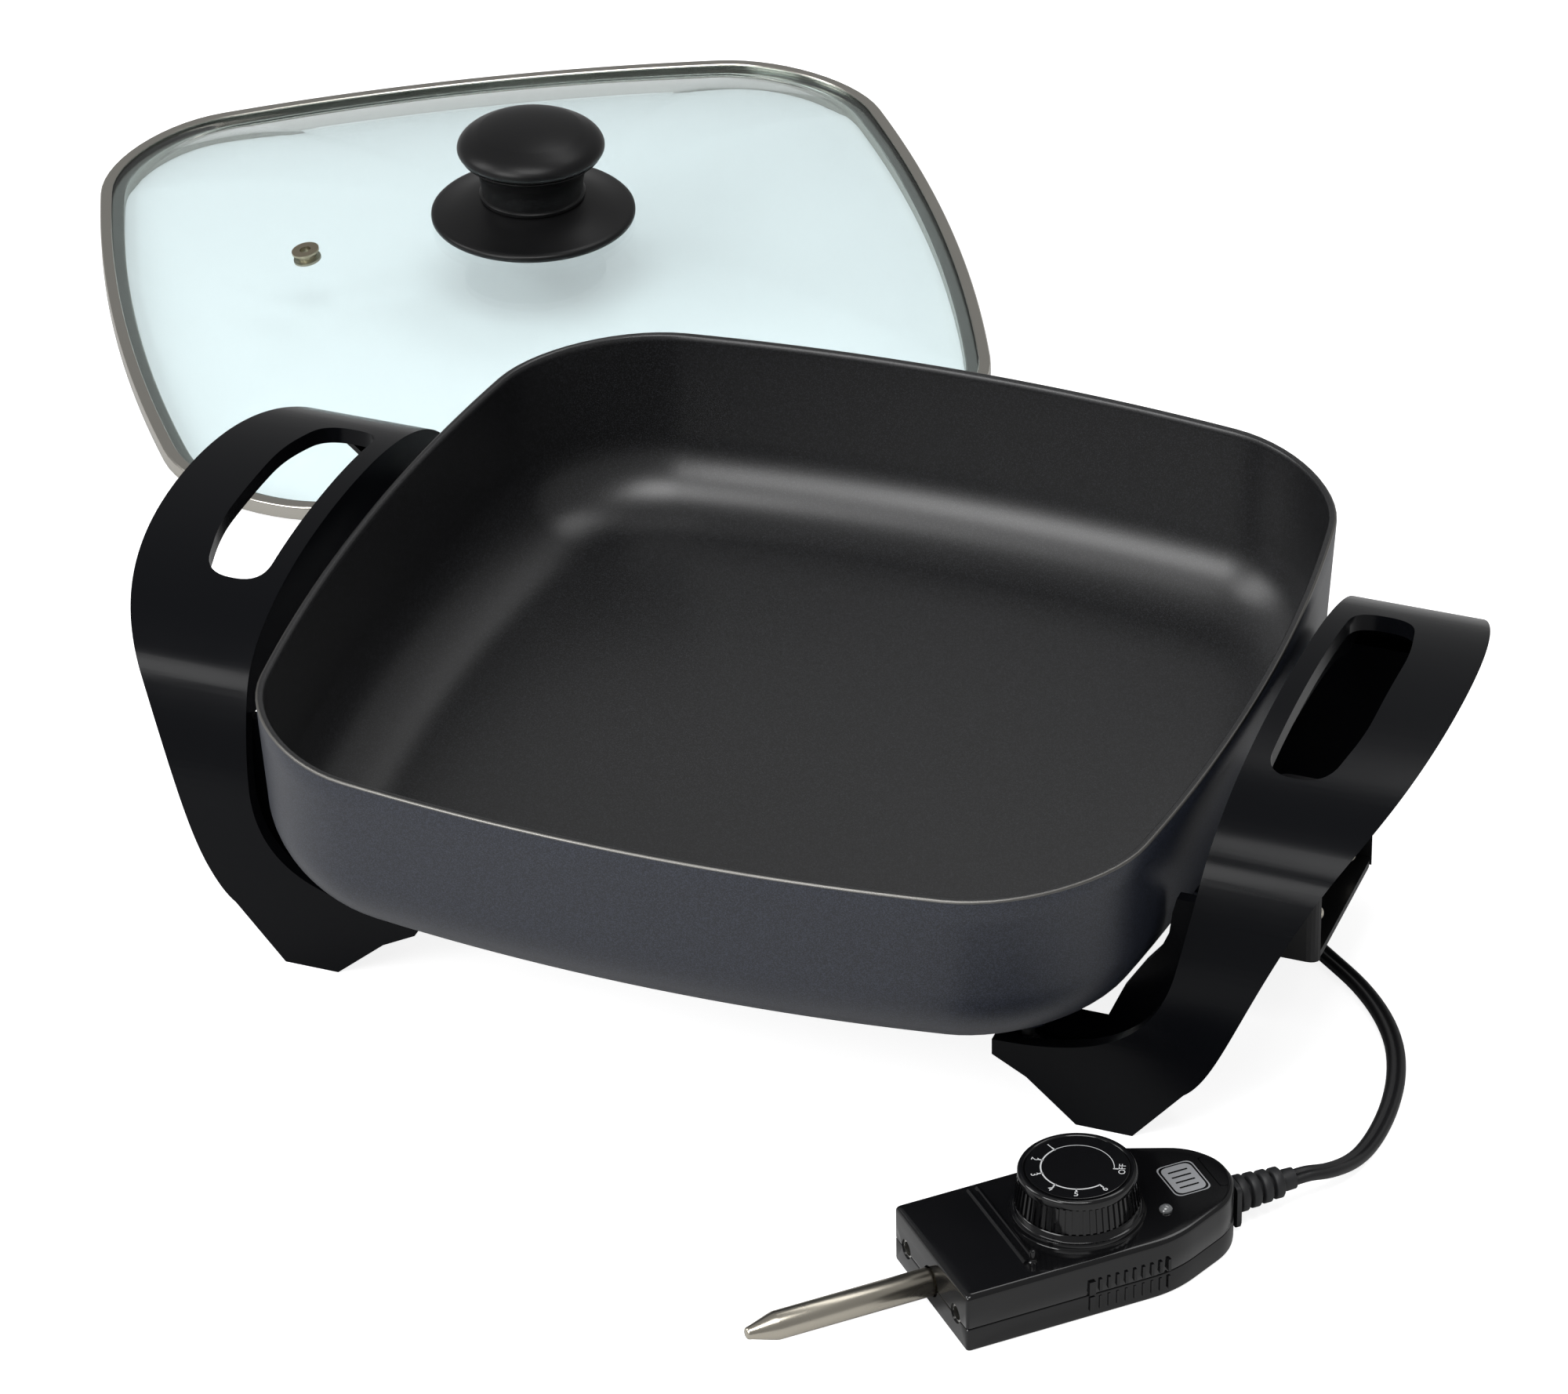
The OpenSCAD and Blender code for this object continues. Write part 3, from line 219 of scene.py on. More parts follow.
def loft(
    bm: bmesh.types.BMesh,
    rings: Sequence[np.ndarray],
    bands: Sequence[int] | None = None,
    ring_closed: bool = False,
    place: Matrix | None = None,
) -> None:
    """Adds a closed skin through rings of equal point count.

    Args:
        bm: the bmesh that it is added to.
        rings: the rings, in millimetres.
        bands: the material index of each band between two rings.
        ring_closed: whether the last ring joins the first; else a face closes each of them.
        place: where it goes, in metres.
    """
    place = place or Matrix.Identity(4)
    rows = [[bm.verts.new(place @ Vector(p * MM)) for p in ring] for ring in rings]
    pairs = list(zip(rows, rows[1:])) + ([(rows[-1], rows[0])] if ring_closed else [])
    n = len(rows[0])
    for j, (low, high) in enumerate(pairs):
        for i in range(n):
            face = bm.faces.new((low[i], low[(i + 1) % n], high[(i + 1) % n], high[i]))
            face.material_index = bands[j] if bands else 0
    if not ring_closed:
        first, last = bm.faces.new(rows[0][::-1]), bm.faces.new(rows[-1])
        first.material_index, last.material_index = (bands[0], bands[-1]) if bands else (0, 0)


def lathe(bm: bmesh.types.BMesh, profile: Sequence[Point2], steps: int, place: Matrix) -> None:
    """Adds a body turned about Z from a profile of radius and height.

    Args:
        bm: the bmesh that it is added to.
        profile: (radius, height) points in millimetres; a radius of 0 is a pole.
        steps: faces round it.
        place: where it goes, in metres.
    """
    turn = [(math.cos(2 * math.pi * i / steps), math.sin(2 * math.pi * i / steps)) for i in range(steps)]
    rows = [
        [bm.verts.new(place @ Vector((r * c * MM, r * s * MM, z * MM))) for c, s in (turn if r > POLE else [(0, 0)])]
        for r, z in profile
    ]
    for low, high in zip(rows, rows[1:]):
        for i in range(steps):
            k = i + 1
            around = (low[i % len(low)], low[k % len(low)], high[k % len(high)], high[i % len(high)])
            corners = list(dict.fromkeys(around))
            if len(corners) > 2:
                bm.faces.new(corners)


def turned(
    name: str, profile: Sequence[Point2], steps: int, place: Matrix, sharp: float = 40, merge: bool = False
) -> bpy.types.Mesh:
    """The mesh of one turned body.

    Args:
        name: the mesh's name.
        profile, steps, place: as in lathe.
        sharp: as in finish_mesh.
        merge: whether a profile that ends where it starts is closed there.

    Returns:
        The mesh.
    """
    bm = bmesh.new()
    lathe(bm, profile, steps, place)
    if merge:
        bmesh.ops.remove_doubles(bm, verts=bm.verts[:], dist=MERGE_M)
    return finish_mesh(bm, name, sharp)


def skinned(
    name: str, rings: Sequence[np.ndarray], sharp: float = 40, place: Matrix | None = None, ring_closed: bool = False
) -> bpy.types.Mesh:
    """The mesh of one skin through rings.

    Args:
        name: the mesh's name.
        rings, place, ring_closed: as in loft.
        sharp: as in finish_mesh.

    Returns:
        The mesh.
    """
    bm = bmesh.new()
    loft(bm, rings, ring_closed=ring_closed, place=place)
    return finish_mesh(bm, name, sharp)


def prism(outline: Sequence[Point2], axis: Axis, low: float, high: float) -> bpy.types.Object:
    """A straight bar of an outline.

    Args:
        outline: its points: in Y and Z along X, in X and Z along Y, in X and Y along Z.
        axis: the axis that it runs along.
        low, high: where it starts and ends.

    Returns:
        The bar as an object.
    """
    spread: dict[Axis, Callable[[Point2, float], Point3]] = {
        Axis.X: lambda p, d: (d, p[0], p[1]),
        Axis.Y: lambda p, d: (p[0], d, p[1]),
        Axis.Z: lambda p, d: (p[0], p[1], d),
    }
    return piece("bar", skinned("bar", [np.array([spread[axis](p, d) for p in outline]) for d in (low, high)]))


class Cut(Enum):
    """How one solid is joined with another."""

    ADD = "UNION"
    TAKE = "DIFFERENCE"
    MEET = "INTERSECT"


def bake_modifiers(obj: bpy.types.Object) -> bpy.types.Object:
    """Makes obj's modifiers part of its mesh.

    Args:
        obj: the object.

    Returns:
        obj, without its modifiers.
    """
    bpy.context.view_layer.update()
    graph = bpy.context.evaluated_depsgraph_get()
    mesh = bpy.data.meshes.new_from_object(obj.evaluated_get(graph), depsgraph=graph)
    obj.modifiers.clear()
    obj.data = mesh
    return obj


def combine(base: bpy.types.Object, tool: bpy.types.Object, how: Cut) -> bpy.types.Object:
    """Joins two solids.

    Args:
        base: the solid that is changed.
        tool: the other solid, which is removed.
        how: the way they are joined.

    Returns:
        base, with its new mesh.
    """
    modifier = base.modifiers.new("combine", "BOOLEAN")
    modifier.operation = how.value
    modifier.solver = "MANIFOLD"
    modifier.object = tool
    bake_modifiers(base)
    bpy.data.objects.remove(tool)
    return base


# ---------------------------------------------------------------- shader effects


class Effect:
    """A shader node group with named inputs and outputs, built once."""

    def __init__(self, name: str, inputs: dict[str, float], outputs: Sequence[str]) -> None:
        """Makes the group's sockets.

        Args:
            name: the group's name.
            inputs: its inputs with their usual values.
            outputs: the names of its outputs.
        """
        self.tree = bpy.data.node_groups.new(name, "ShaderNodeTree")
        for key, value in inputs.items():
            socket = self.tree.interface.new_socket(key, in_out="INPUT", socket_type="NodeSocketFloat")
            socket.default_value = value
        for key in outputs:
            self.tree.interface.new_socket(key, in_out="OUTPUT", socket_type="NodeSocketFloat")
        self.given = self.tree.nodes.new("NodeGroupInput")
        self.result = self.tree.nodes.new("NodeGroupOutput")
        self.place = self.tree.nodes.new("ShaderNodeTexCoord").outputs["Object"]

    def link(self, a: bpy.types.NodeSocket, b: bpy.types.NodeSocket) -> None:
        """Joins two sockets in the group."""
        self.tree.links.new(a, b)

    def math(self, operation: str, a: object, b: object) -> bpy.types.NodeSocket:
        """A sum in the group.

        Args:
            operation: the Math node's operation.
            a, b: sockets or numbers.

        Returns:
            The output socket.
        """
        node = self.tree.nodes.new("ShaderNodeMath")
        node.operation = operation
        for slot, value in zip(node.inputs, (a, b)):
            if isinstance(value, bpy.types.NodeSocket):
                self.link(value, slot)
            else:
                slot.default_value = value
        return node.outputs[0]

    def noise(self, scale: bpy.types.NodeSocket, detail: float) -> bpy.types.NodeSocket:
        """A noise value in the group.

        Args:
            scale: the socket that sets its scale.
            detail: how fine its detail is.

        Returns:
            The output socket.
        """
        node = self.tree.nodes.new("ShaderNodeTexNoise")
        node.inputs["Detail"].default_value = detail
        self.link(self.place, node.inputs["Vector"])
        self.link(scale, node.inputs["Scale"])
        return node.outputs["Fac"]


# the span of the noise that the smudge spreads over its two roughnesses
CLOUD_SPAN = (0.35, 0.65)


def build_effects() -> dict[str, bpy.types.NodeTree]:
    """Builds the shared effects.

    Returns:
        The groups by name: grain, fleck and smudge.
    """
    grain = Effect("moulded_grain", {"Scale": 1800.0, "Depth": 1.0}, ["Height"])
    fine = grain.noise(grain.given.outputs["Scale"], 2.0)
    grain.link(grain.math("MULTIPLY", fine, grain.given.outputs["Depth"]), grain.result.inputs["Height"])

    fleck = Effect("metal_fleck", {"Scale": 900.0, "Share": 0.4, "Contrast": 6.0}, ["Mask"])
    cells = fleck.tree.nodes.new("ShaderNodeTexVoronoi")
    fleck.link(fleck.place, cells.inputs["Vector"])
    fleck.link(fleck.given.outputs["Scale"], cells.inputs["Scale"])
    split = fleck.tree.nodes.new("ShaderNodeSeparateColor")
    fleck.link(cells.outputs["Color"], split.inputs[0])
    over = fleck.math("SUBTRACT", split.outputs[0], fleck.math("SUBTRACT", 1.0, fleck.given.outputs["Share"]))
    mask = fleck.math("MULTIPLY", over, fleck.given.outputs["Contrast"])
    mask.node.use_clamp = True
    fleck.link(mask, fleck.result.inputs["Mask"])

    smudge = Effect("handling_smudge", {"Scale": 14.0, "Low": 0.3, "High": 0.4}, ["Roughness"])
    cloud = smudge.noise(smudge.given.outputs["Scale"], 4.0)
    ramp = smudge.tree.nodes.new("ShaderNodeMapRange")
    smudge.link(cloud, ramp.inputs["Value"])
    ramp.inputs["From Min"].default_value, ramp.inputs["From Max"].default_value = CLOUD_SPAN
    smudge.link(smudge.given.outputs["Low"], ramp.inputs["To Min"])
    smudge.link(smudge.given.outputs["High"], ramp.inputs["To Max"])
    smudge.link(ramp.outputs["Result"], smudge.result.inputs["Roughness"])
    return {"grain": grain.tree, "fleck": fleck.tree, "smudge": smudge.tree}


# ---------------------------------------------------------------- finishes


@dataclass(frozen=True)
class Finish:
    """A finish of one material, with moulded grain and uneven gloss.

    Roughness runs between rough_low and rough_high, and grain_depth is the height of the grain in millimetres.
    """

    name: str
    colour: Colour
    rough_low: float
    rough_high: float
    metallic: float = 0.0
    specular: float = 0.5
    grain_scale: float = 1800.0
    grain_depth: float = 0.02
    smudge_scale: float = 14.0
    fleck_colour: Colour | None = None
    fleck_scale: float = 900.0
    fleck_share: float = 0.4
    coat: float = 0.0
    coat_rough: float = 0.12
    bump: float = 0.5

    def build(self, effects: dict[str, bpy.types.NodeTree]) -> bpy.types.Material:
        """Makes the material.

        Args:
            effects: the shared shader groups.

        Returns:
            The material.
        """
        material = bpy.data.materials.new(self.name)
        material.use_nodes = True
        tree = material.node_tree
        shader = tree.nodes["Principled BSDF"]
        shader.inputs["Base Color"].default_value = (*self.colour, 1)
        shader.inputs["Metallic"].default_value = self.metallic
        shader.inputs["Specular IOR Level"].default_value = self.specular
        shader.inputs["Coat Weight"].default_value = self.coat
        shader.inputs["Coat Roughness"].default_value = self.coat_rough
        smudge = self.group(tree, effects["smudge"], Scale=self.smudge_scale, Low=self.rough_low, High=self.rough_high)
        tree.links.new(smudge.outputs["Roughness"], shader.inputs["Roughness"])
        grain = self.group(tree, effects["grain"], Scale=self.grain_scale, Depth=1.0)
        bump = tree.nodes.new("ShaderNodeBump")
        bump.inputs["Strength"].default_value = self.bump
        bump.inputs["Distance"].default_value = self.grain_depth * MM
        tree.links.new(grain.outputs["Height"], bump.inputs["Height"])
        tree.links.new(bump.outputs["Normal"], shader.inputs["Normal"])
        if self.fleck_colour:
            fleck = self.group(tree, effects["fleck"], Scale=self.fleck_scale, Share=self.fleck_share)
            mix = tree.nodes.new("ShaderNodeMix")
            mix.data_type = "RGBA"
            mix.inputs["A"].default_value = (*self.colour, 1)
            mix.inputs["B"].default_value = (*self.fleck_colour, 1)
            tree.links.new(fleck.outputs["Mask"], mix.inputs["Factor"])
            tree.links.new(mix.outputs["Result"], shader.inputs["Base Color"])
        return material

    def group(self, tree: bpy.types.NodeTree, effect: bpy.types.NodeTree, **values: float) -> bpy.types.Node:
        """A shared effect placed in a material with its own values.

        Args:
            tree: the material's node tree.
            effect: the shared group.
            **values: its inputs' values by name.

        Returns:
            The group's node.
        """
        node = tree.nodes.new("ShaderNodeGroup")
        node.node_tree = effect
        for key, value in values.items():
            node.inputs[key].default_value = value
        return node


@dataclass(frozen=True)
class Glass(Finish):
    """Clear glass that lets light through to what lies under it."""

    ior: float = 1.5
    shade: Colour = (0.9, 0.95, 0.95)

    def build(self, effects: dict[str, bpy.types.NodeTree]) -> bpy.types.Material:
        """Makes the glass material.

        Args:
            effects: the shared shader groups.

        Returns:
            The material.
        """
        material = super().build(effects)
        tree = material.node_tree
        shader = tree.nodes["Principled BSDF"]
        shader.inputs["Transmission Weight"].default_value = 1.0
        shader.inputs["IOR"].default_value = self.ior
        for link in list(shader.inputs["Normal"].links):
            tree.links.remove(link)
        path = tree.nodes.new("ShaderNodeLightPath")
        clear = tree.nodes.new("ShaderNodeBsdfTransparent")
        clear.inputs["Color"].default_value = (*self.shade, 1)
        mix = tree.nodes.new("ShaderNodeMixShader")
        tree.links.new(path.outputs["Is Shadow Ray"], mix.inputs["Fac"])
        tree.links.new(shader.outputs["BSDF"], mix.inputs[1])
        tree.links.new(clear.outputs["BSDF"], mix.inputs[2])
        tree.links.new(mix.outputs["Shader"], tree.nodes["Material Output"].inputs["Surface"])
        return material


FINISHES: tuple[Finish, ...] = (
    Finish("pan_coat", (0.010, 0.012, 0.019), 0.36, 0.42, specular=0.65, grain_scale=3200, grain_depth=0.03,
           fleck_colour=(0.030, 0.036, 0.054), fleck_scale=4200, fleck_share=0.45, smudge_scale=9),
    Finish("pan_lining", (0.005, 0.005, 0.0055), 0.31, 0.36, specular=0.75, grain_scale=3000, grain_depth=0.03,
           fleck_colour=(0.020, 0.021, 0.024), fleck_scale=4200, fleck_share=0.3, smudge_scale=7),
    Finish("bare_edge", (0.20, 0.195, 0.185), 0.3, 0.45, metallic=1.0, grain_depth=0.01),
    Finish("element_sheath", (0.20, 0.18, 0.17), 0.4, 0.6, metallic=0.9),
    Finish("ceramic", (0.75, 0.72, 0.66), 0.6, 0.8),
    Finish("terminal_metal", (0.68, 0.64, 0.55), 0.2, 0.35, metallic=1.0, grain_depth=0.01),
    Finish("black_moulding", (0.003, 0.0033, 0.0043), 0.19, 0.25, specular=0.13, grain_scale=700, grain_depth=0.008),
    Finish("guard_moulding", (0.010, 0.010, 0.011), 0.25, 0.33, grain_scale=900, grain_depth=0.015),
    Finish("zinc_steel", (0.60, 0.61, 0.63), 0.25, 0.4, metallic=1.0, grain_depth=0.01),
    Finish("rim_steel", (0.56, 0.54, 0.49), 0.16, 0.26, metallic=1.0, grain_scale=2500, grain_depth=0.006),
    Finish("vent_metal", (0.42, 0.37, 0.27), 0.2, 0.32, metallic=1.0, grain_depth=0.005),
    Finish("bright_steel", (0.64, 0.63, 0.60), 0.14, 0.25, metallic=1.0, grain_depth=0.005),
    Finish("knob_moulding", (0.005, 0.005, 0.0054), 0.30, 0.37, specular=0.3, grain_scale=1500, grain_depth=0.05),
    Finish("gloss_moulding", (0.004, 0.004, 0.0045), 0.07, 0.12, grain_scale=500, grain_depth=0.004),
    Finish("probe_steel", (0.56, 0.52, 0.44), 0.2, 0.32, metallic=1.0, grain_scale=3000, grain_depth=0.012),
    Finish("contact_brass", (0.72, 0.58, 0.33), 0.25, 0.4, metallic=1.0, grain_depth=0.01),
    Finish("phenolic_board", (0.30, 0.19, 0.11), 0.5, 0.65, grain_depth=0.03),
    Finish("lamp_glow", (0.8, 0.42, 0.14), 0.2, 0.3, grain_depth=0.0),
    Finish("lens_clear", (0.16, 0.165, 0.17), 0.06, 0.1, grain_depth=0.0, coat=1.0),
    Finish("cord_rubber", (0.0095, 0.0095, 0.0105), 0.32, 0.42, grain_scale=1200),
    Finish("relief_rubber", (0.016, 0.0165, 0.018), 0.42, 0.52, grain_scale=1200, grain_depth=0.04),
    Finish("dial_print", (0.62, 0.63, 0.64), 0.4, 0.5, grain_depth=0.0),
    Finish("badge_silver", (0.50, 0.51, 0.53), 0.3, 0.38, metallic=0.6, grain_depth=0.005),
    Glass("tinted_glass", (0.765, 0.84, 0.855), 0.0, 0.01, grain_depth=0.0),
)


class Palette:
    """The finishes as materials, by name."""

    def __init__(self) -> None:
        """Builds the shared effects and every finish."""
        effects = build_effects()
        self.materials = {f.name: f.build(effects) for f in FINISHES}

    def __getitem__(self, name: str) -> bpy.types.Material:
        """The material of that name."""
        return self.materials[name]

    def dress(self, obj: bpy.types.Object, *names: str) -> bpy.types.Object:
        """Gives obj these finishes.

        Args:
            obj: the object.
            *names: the finishes, in the order of its slots.

        Returns:
            obj.
        """
        slots = obj.data.materials
        while len(slots) > len(names):
            slots.pop(index=len(slots) - 1)
        for i, name in enumerate(names):
            if i < len(slots):
                slots[i] = self.materials[name]
            else:
                slots.append(self.materials[name])
        return obj


# ---------------------------------------------------------------- what repeats


class Run(Enum):
    """How the copies of a rib stand, with the name of the tree that sets them out."""

    ROW = "ribs_in_a_row"
    RING = "ribs_round_a_ring"


class Repeat:
    """Geometry Nodes trees that set copies of a small bar along a row or round a ring."""

    def __init__(self) -> None:
        """Builds the two trees."""
        self.trees = {run: self.tree(run) for run in Run}

    def tree(self, run: Run) -> bpy.types.NodeTree:
        """Builds one tree.

        Args:
            run: whether its copies stand in a row along X or round a ring.

        Returns:
            The tree, with inputs Count, Reach, Rib Size and Finish. Reach is the ring's radius or the row's pitch.
        """
        tree = bpy.data.node_groups.new(run.value, "GeometryNodeTree")
        tree.is_modifier = True
        for key, kind in (("Count", "NodeSocketInt"), ("Reach", "NodeSocketFloat"),
                          ("Rib Size", "NodeSocketVector"), ("Finish", "NodeSocketMaterial")):
            tree.interface.new_socket(key, in_out="INPUT", socket_type=kind)
        tree.interface.new_socket("Geometry", in_out="OUTPUT", socket_type="NodeSocketGeometry")
        new, link = tree.nodes.new, tree.links.new
        given, result = new("NodeGroupInput"), new("NodeGroupOutput")
        bar = new("GeometryNodeMeshCube")
        link(given.outputs["Rib Size"], bar.inputs["Size"])
        copies = new("GeometryNodeInstanceOnPoints")
        if run is Run.RING:
            points = new("GeometryNodeMeshCircle")
            link(given.outputs["Count"], points.inputs["Vertices"])
            link(given.outputs["Reach"], points.inputs["Radius"])
            where = new("GeometryNodeInputPosition")
            aim = new("FunctionNodeAlignRotationToVector")
            aim.axis = "X"
            link(where.outputs[0], aim.inputs["Vector"])
            link(aim.outputs[0], copies.inputs["Rotation"])
        else:
            points = new("GeometryNodeMeshLine")
            pitch = new("ShaderNodeCombineXYZ")
            link(given.outputs["Count"], points.inputs["Count"])
            link(given.outputs["Reach"], pitch.inputs["X"])
            link(pitch.outputs[0], points.inputs["Offset"])
        link(points.outputs["Mesh"], copies.inputs["Points"])
        link(bar.outputs["Mesh"], copies.inputs["Instance"])
        real, paint = new("GeometryNodeRealizeInstances"), new("GeometryNodeSetMaterial")
        link(copies.outputs["Instances"], real.inputs["Geometry"])
        link(real.outputs["Geometry"], paint.inputs["Geometry"])
        link(given.outputs["Finish"], paint.inputs["Material"])
        link(paint.outputs["Geometry"], result.inputs["Geometry"])
        return tree

    def make(
        self, name: str, run: Run, count: int, reach: float, size: Point3, finish: bpy.types.Material, place: Matrix
    ) -> bpy.types.Object:
        """Makes a row or ring of ribs as a plain mesh.

        Args:
            name: the object's name.
            run: how they stand.
            count: how many ribs.
            reach: the pitch or the ring's radius.
            size: one rib's size.
            finish: its material.
            place: where it goes, in metres.

        Returns:
            The object.
        """
        holder = piece(name, bpy.data.meshes.new(name))
        modifier = holder.modifiers.new("ribs", "NODES")
        modifier.node_group = self.trees[run]
        values = {"Count": count, "Reach": reach * MM, "Rib Size": [s * MM for s in size], "Finish": finish}
        for item in self.trees[run].interface.items_tree:
            if item.in_out == "INPUT":
                modifier[item.identifier] = values[item.name]
        bake_modifiers(holder)
        holder.data.transform(place)
        return holder


def join(name: str, parts: Sequence[bpy.types.Object]) -> bpy.types.Object:
    """Makes one piece of several.

    Args:
        name: the piece's name.
        parts: the objects; the first one's mesh takes in the others'.

    Returns:
        The joined object.
    """
    names = []
    bm = bmesh.new()
    for part in parts:
        slots = list(part.data.materials)
        for m in slots:
            if m not in names:
                names.append(m)
        start = len(bm.faces)
        bm.from_mesh(part.data)
        bm.faces.ensure_lookup_table()
        for face in bm.faces[start:]:
            face.material_index = names.index(slots[face.material_index]) if slots else 0
    mesh = bpy.data.meshes.new(name)
    bm.to_mesh(mesh)
    bm.free()
    for m in names:
        mesh.materials.append(m)
    for part in parts:
        bpy.data.objects.remove(part)
    return piece(name, mesh)


def settle(obj: bpy.types.Object, body: Body, slot: str, *nodes: str) -> bpy.types.Object:
    """Puts a finished piece on its body.

    Args:
        obj: the piece.
        body: the body that it rides on.
        slot: the record's material slot; not used.
        nodes: the CAD nodes that it stands for.

    Returns:
        obj.
    """
    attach(obj, body.value)
    if nodes:
        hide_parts(*nodes)
    LOG.info("%s: %d faces on %s", obj.name, len(obj.data.polygons), body.value)
    return obj


def add(
    palette: Palette, name: str, mesh: bpy.types.Mesh, finish: str, body: Body, slot: str, *nodes: str
) -> bpy.types.Object:
    """Makes a piece of one finish and puts it on its body.

    Args:
        palette: the finishes.
        name: the piece's name.
        mesh: its mesh.
        finish: its finish.
        body, slot, nodes: as in settle.

    Returns:
        The piece.
    """
    return settle(palette.dress(piece(name, mesh), finish), body, slot, *nodes)


# ---------------------------------------------------------------- skillet


@dataclass
class Pan:
    """The cast pan: outside, rim, lining, and the relief under its floor."""

    half: float = 150
    corner: float = 45
    bow: float = 14
    rim_z: float = 106
    depth: float = 64
    wall: float = 2.6
    floor: float = 4
    draft: float = 2
    curve: float = 30
    base_corner: float = 22
    edge: float = 0.7
    lip: float = 0.35
    turn_step: float = 5
    relief_gap: float = 0.2

    def ring(self, inset: float, z: float, radius: float) -> np.ndarray:
        """The pan's outline drawn in by inset, at height z."""
        return at_height(bowed_square(self.half - inset, radius, self.bow * (1 - inset / self.half)), z)

    def corner_at(self, t: float) -> float:
        """Corner radius on the way down the base curve, t from 0 to 1."""
        return self.corner - self.draft + (self.base_corner - self.corner + self.draft) * t

    def flat(self, inset: float, z: float, radius: float) -> list[np.ndarray]:
        """Rings that fill a flat floor, from its edge to near its middle."""
        edge = self.ring(inset, z, radius)
        return [edge * [k, k, 1] for k in (0.985, 0.9, 0.6, 0.3, 0.1)]

    def shell(self) -> bpy.types.Mesh:
        """The shell's mesh, with outside, bare edge and lining as its three finishes.

        Returns:
            The mesh, in metres.
        """
        under, floor = self.rim_z - self.depth, self.rim_z - self.depth + self.floor
        inner = self.curve - self.floor
        base_inset = self.draft + self.curve
        rings = self.flat(base_inset, under, self.base_corner)[::-1]
        for a in np.radians(np.arange(90, -1, -self.turn_step)):
            t = 1 - math.cos(a)
            height = under + self.curve * (1 - math.sin(a))
            rings.append(self.ring(self.draft + self.curve * t, height, self.corner_at(t)))
        rise = self.rim_z - self.edge - under - self.curve
        rings += [
            self.ring(self.draft * (1 - k), under + self.curve + k * rise, self.corner - self.draft * (1 - k))
            for k in (0.25, 0.5, 0.75, 1)
        ]
        outside = len(rings) - 1
        rings += [self.ring(self.lip, self.rim_z - 0.15, self.corner - self.lip),
                  self.ring(self.edge, self.rim_z, self.corner - self.edge),
                  self.ring(self.wall - self.edge, self.rim_z, self.corner - self.wall + self.edge),
                  self.ring(self.wall - 0.1, self.rim_z - 0.5, self.corner - self.wall)]
        top, fall = self.rim_z - self.edge, self.rim_z - self.edge - floor - inner
        rings += [
            self.ring(self.wall + self.draft * k, top - k * fall, self.corner - self.wall - self.draft * k)
            for k in (0.05, 0.35, 0.7)
        ]
        for a in np.radians(np.arange(0, 91, self.turn_step)):
            t = 1 - math.cos(a)
            rings.append(self.ring(self.draft + self.wall + inner * t, floor + inner * (1 - math.sin(a)),
                                   self.corner_at(t) - self.wall))
        rings += self.flat(self.draft + self.wall + inner, floor, self.base_corner - self.wall)
        bands = [0] * outside + [1] * 2 + [2] * (len(rings) - 3 - outside)
        bm = bmesh.new()
        loft(bm, rings, bands)
        return finish_mesh(bm, "pan_shell", sharp=60)

    def relief(self, node: bpy.types.Object) -> bpy.types.Mesh:
        """What stands out under the floor: the element's ridge, the probe's well and the handles' pads.

        Args:
            node: the CAD node of the pan.

        Returns:
            A copy of that part of its mesh.
        """
        bm = bmesh.new()
        bm.from_mesh(node.data)
        bmesh.ops.remove_doubles(bm, verts=bm.verts[:], dist=MERGE_M)
        under_m = (self.rim_z - self.depth) * MM
        above = [f for f in bm.faces if f.calc_center_median().z > under_m - self.relief_gap * MM]
        bmesh.ops.delete(bm, geom=above, context="FACES")
        return finish_mesh(bm, "pan_relief", sharp=30, recalc=False)

    def build(self, palette: Palette, nodes: dict[str, bpy.types.Object]) -> None:
        """Makes the pan and sets it in the frame.

        Args:
            palette: the finishes.
            nodes: the frame's CAD nodes by name.
        """
        shell = palette.dress(piece("pan_shell", self.shell()), "pan_coat", "bare_edge", "pan_lining")
        relief = palette.dress(piece("pan_relief", self.relief(nodes["pan"])), "pan_coat")
        settle(join("pan_body", [shell, relief]), Body.SKILLET, "pan_metal", "pan")


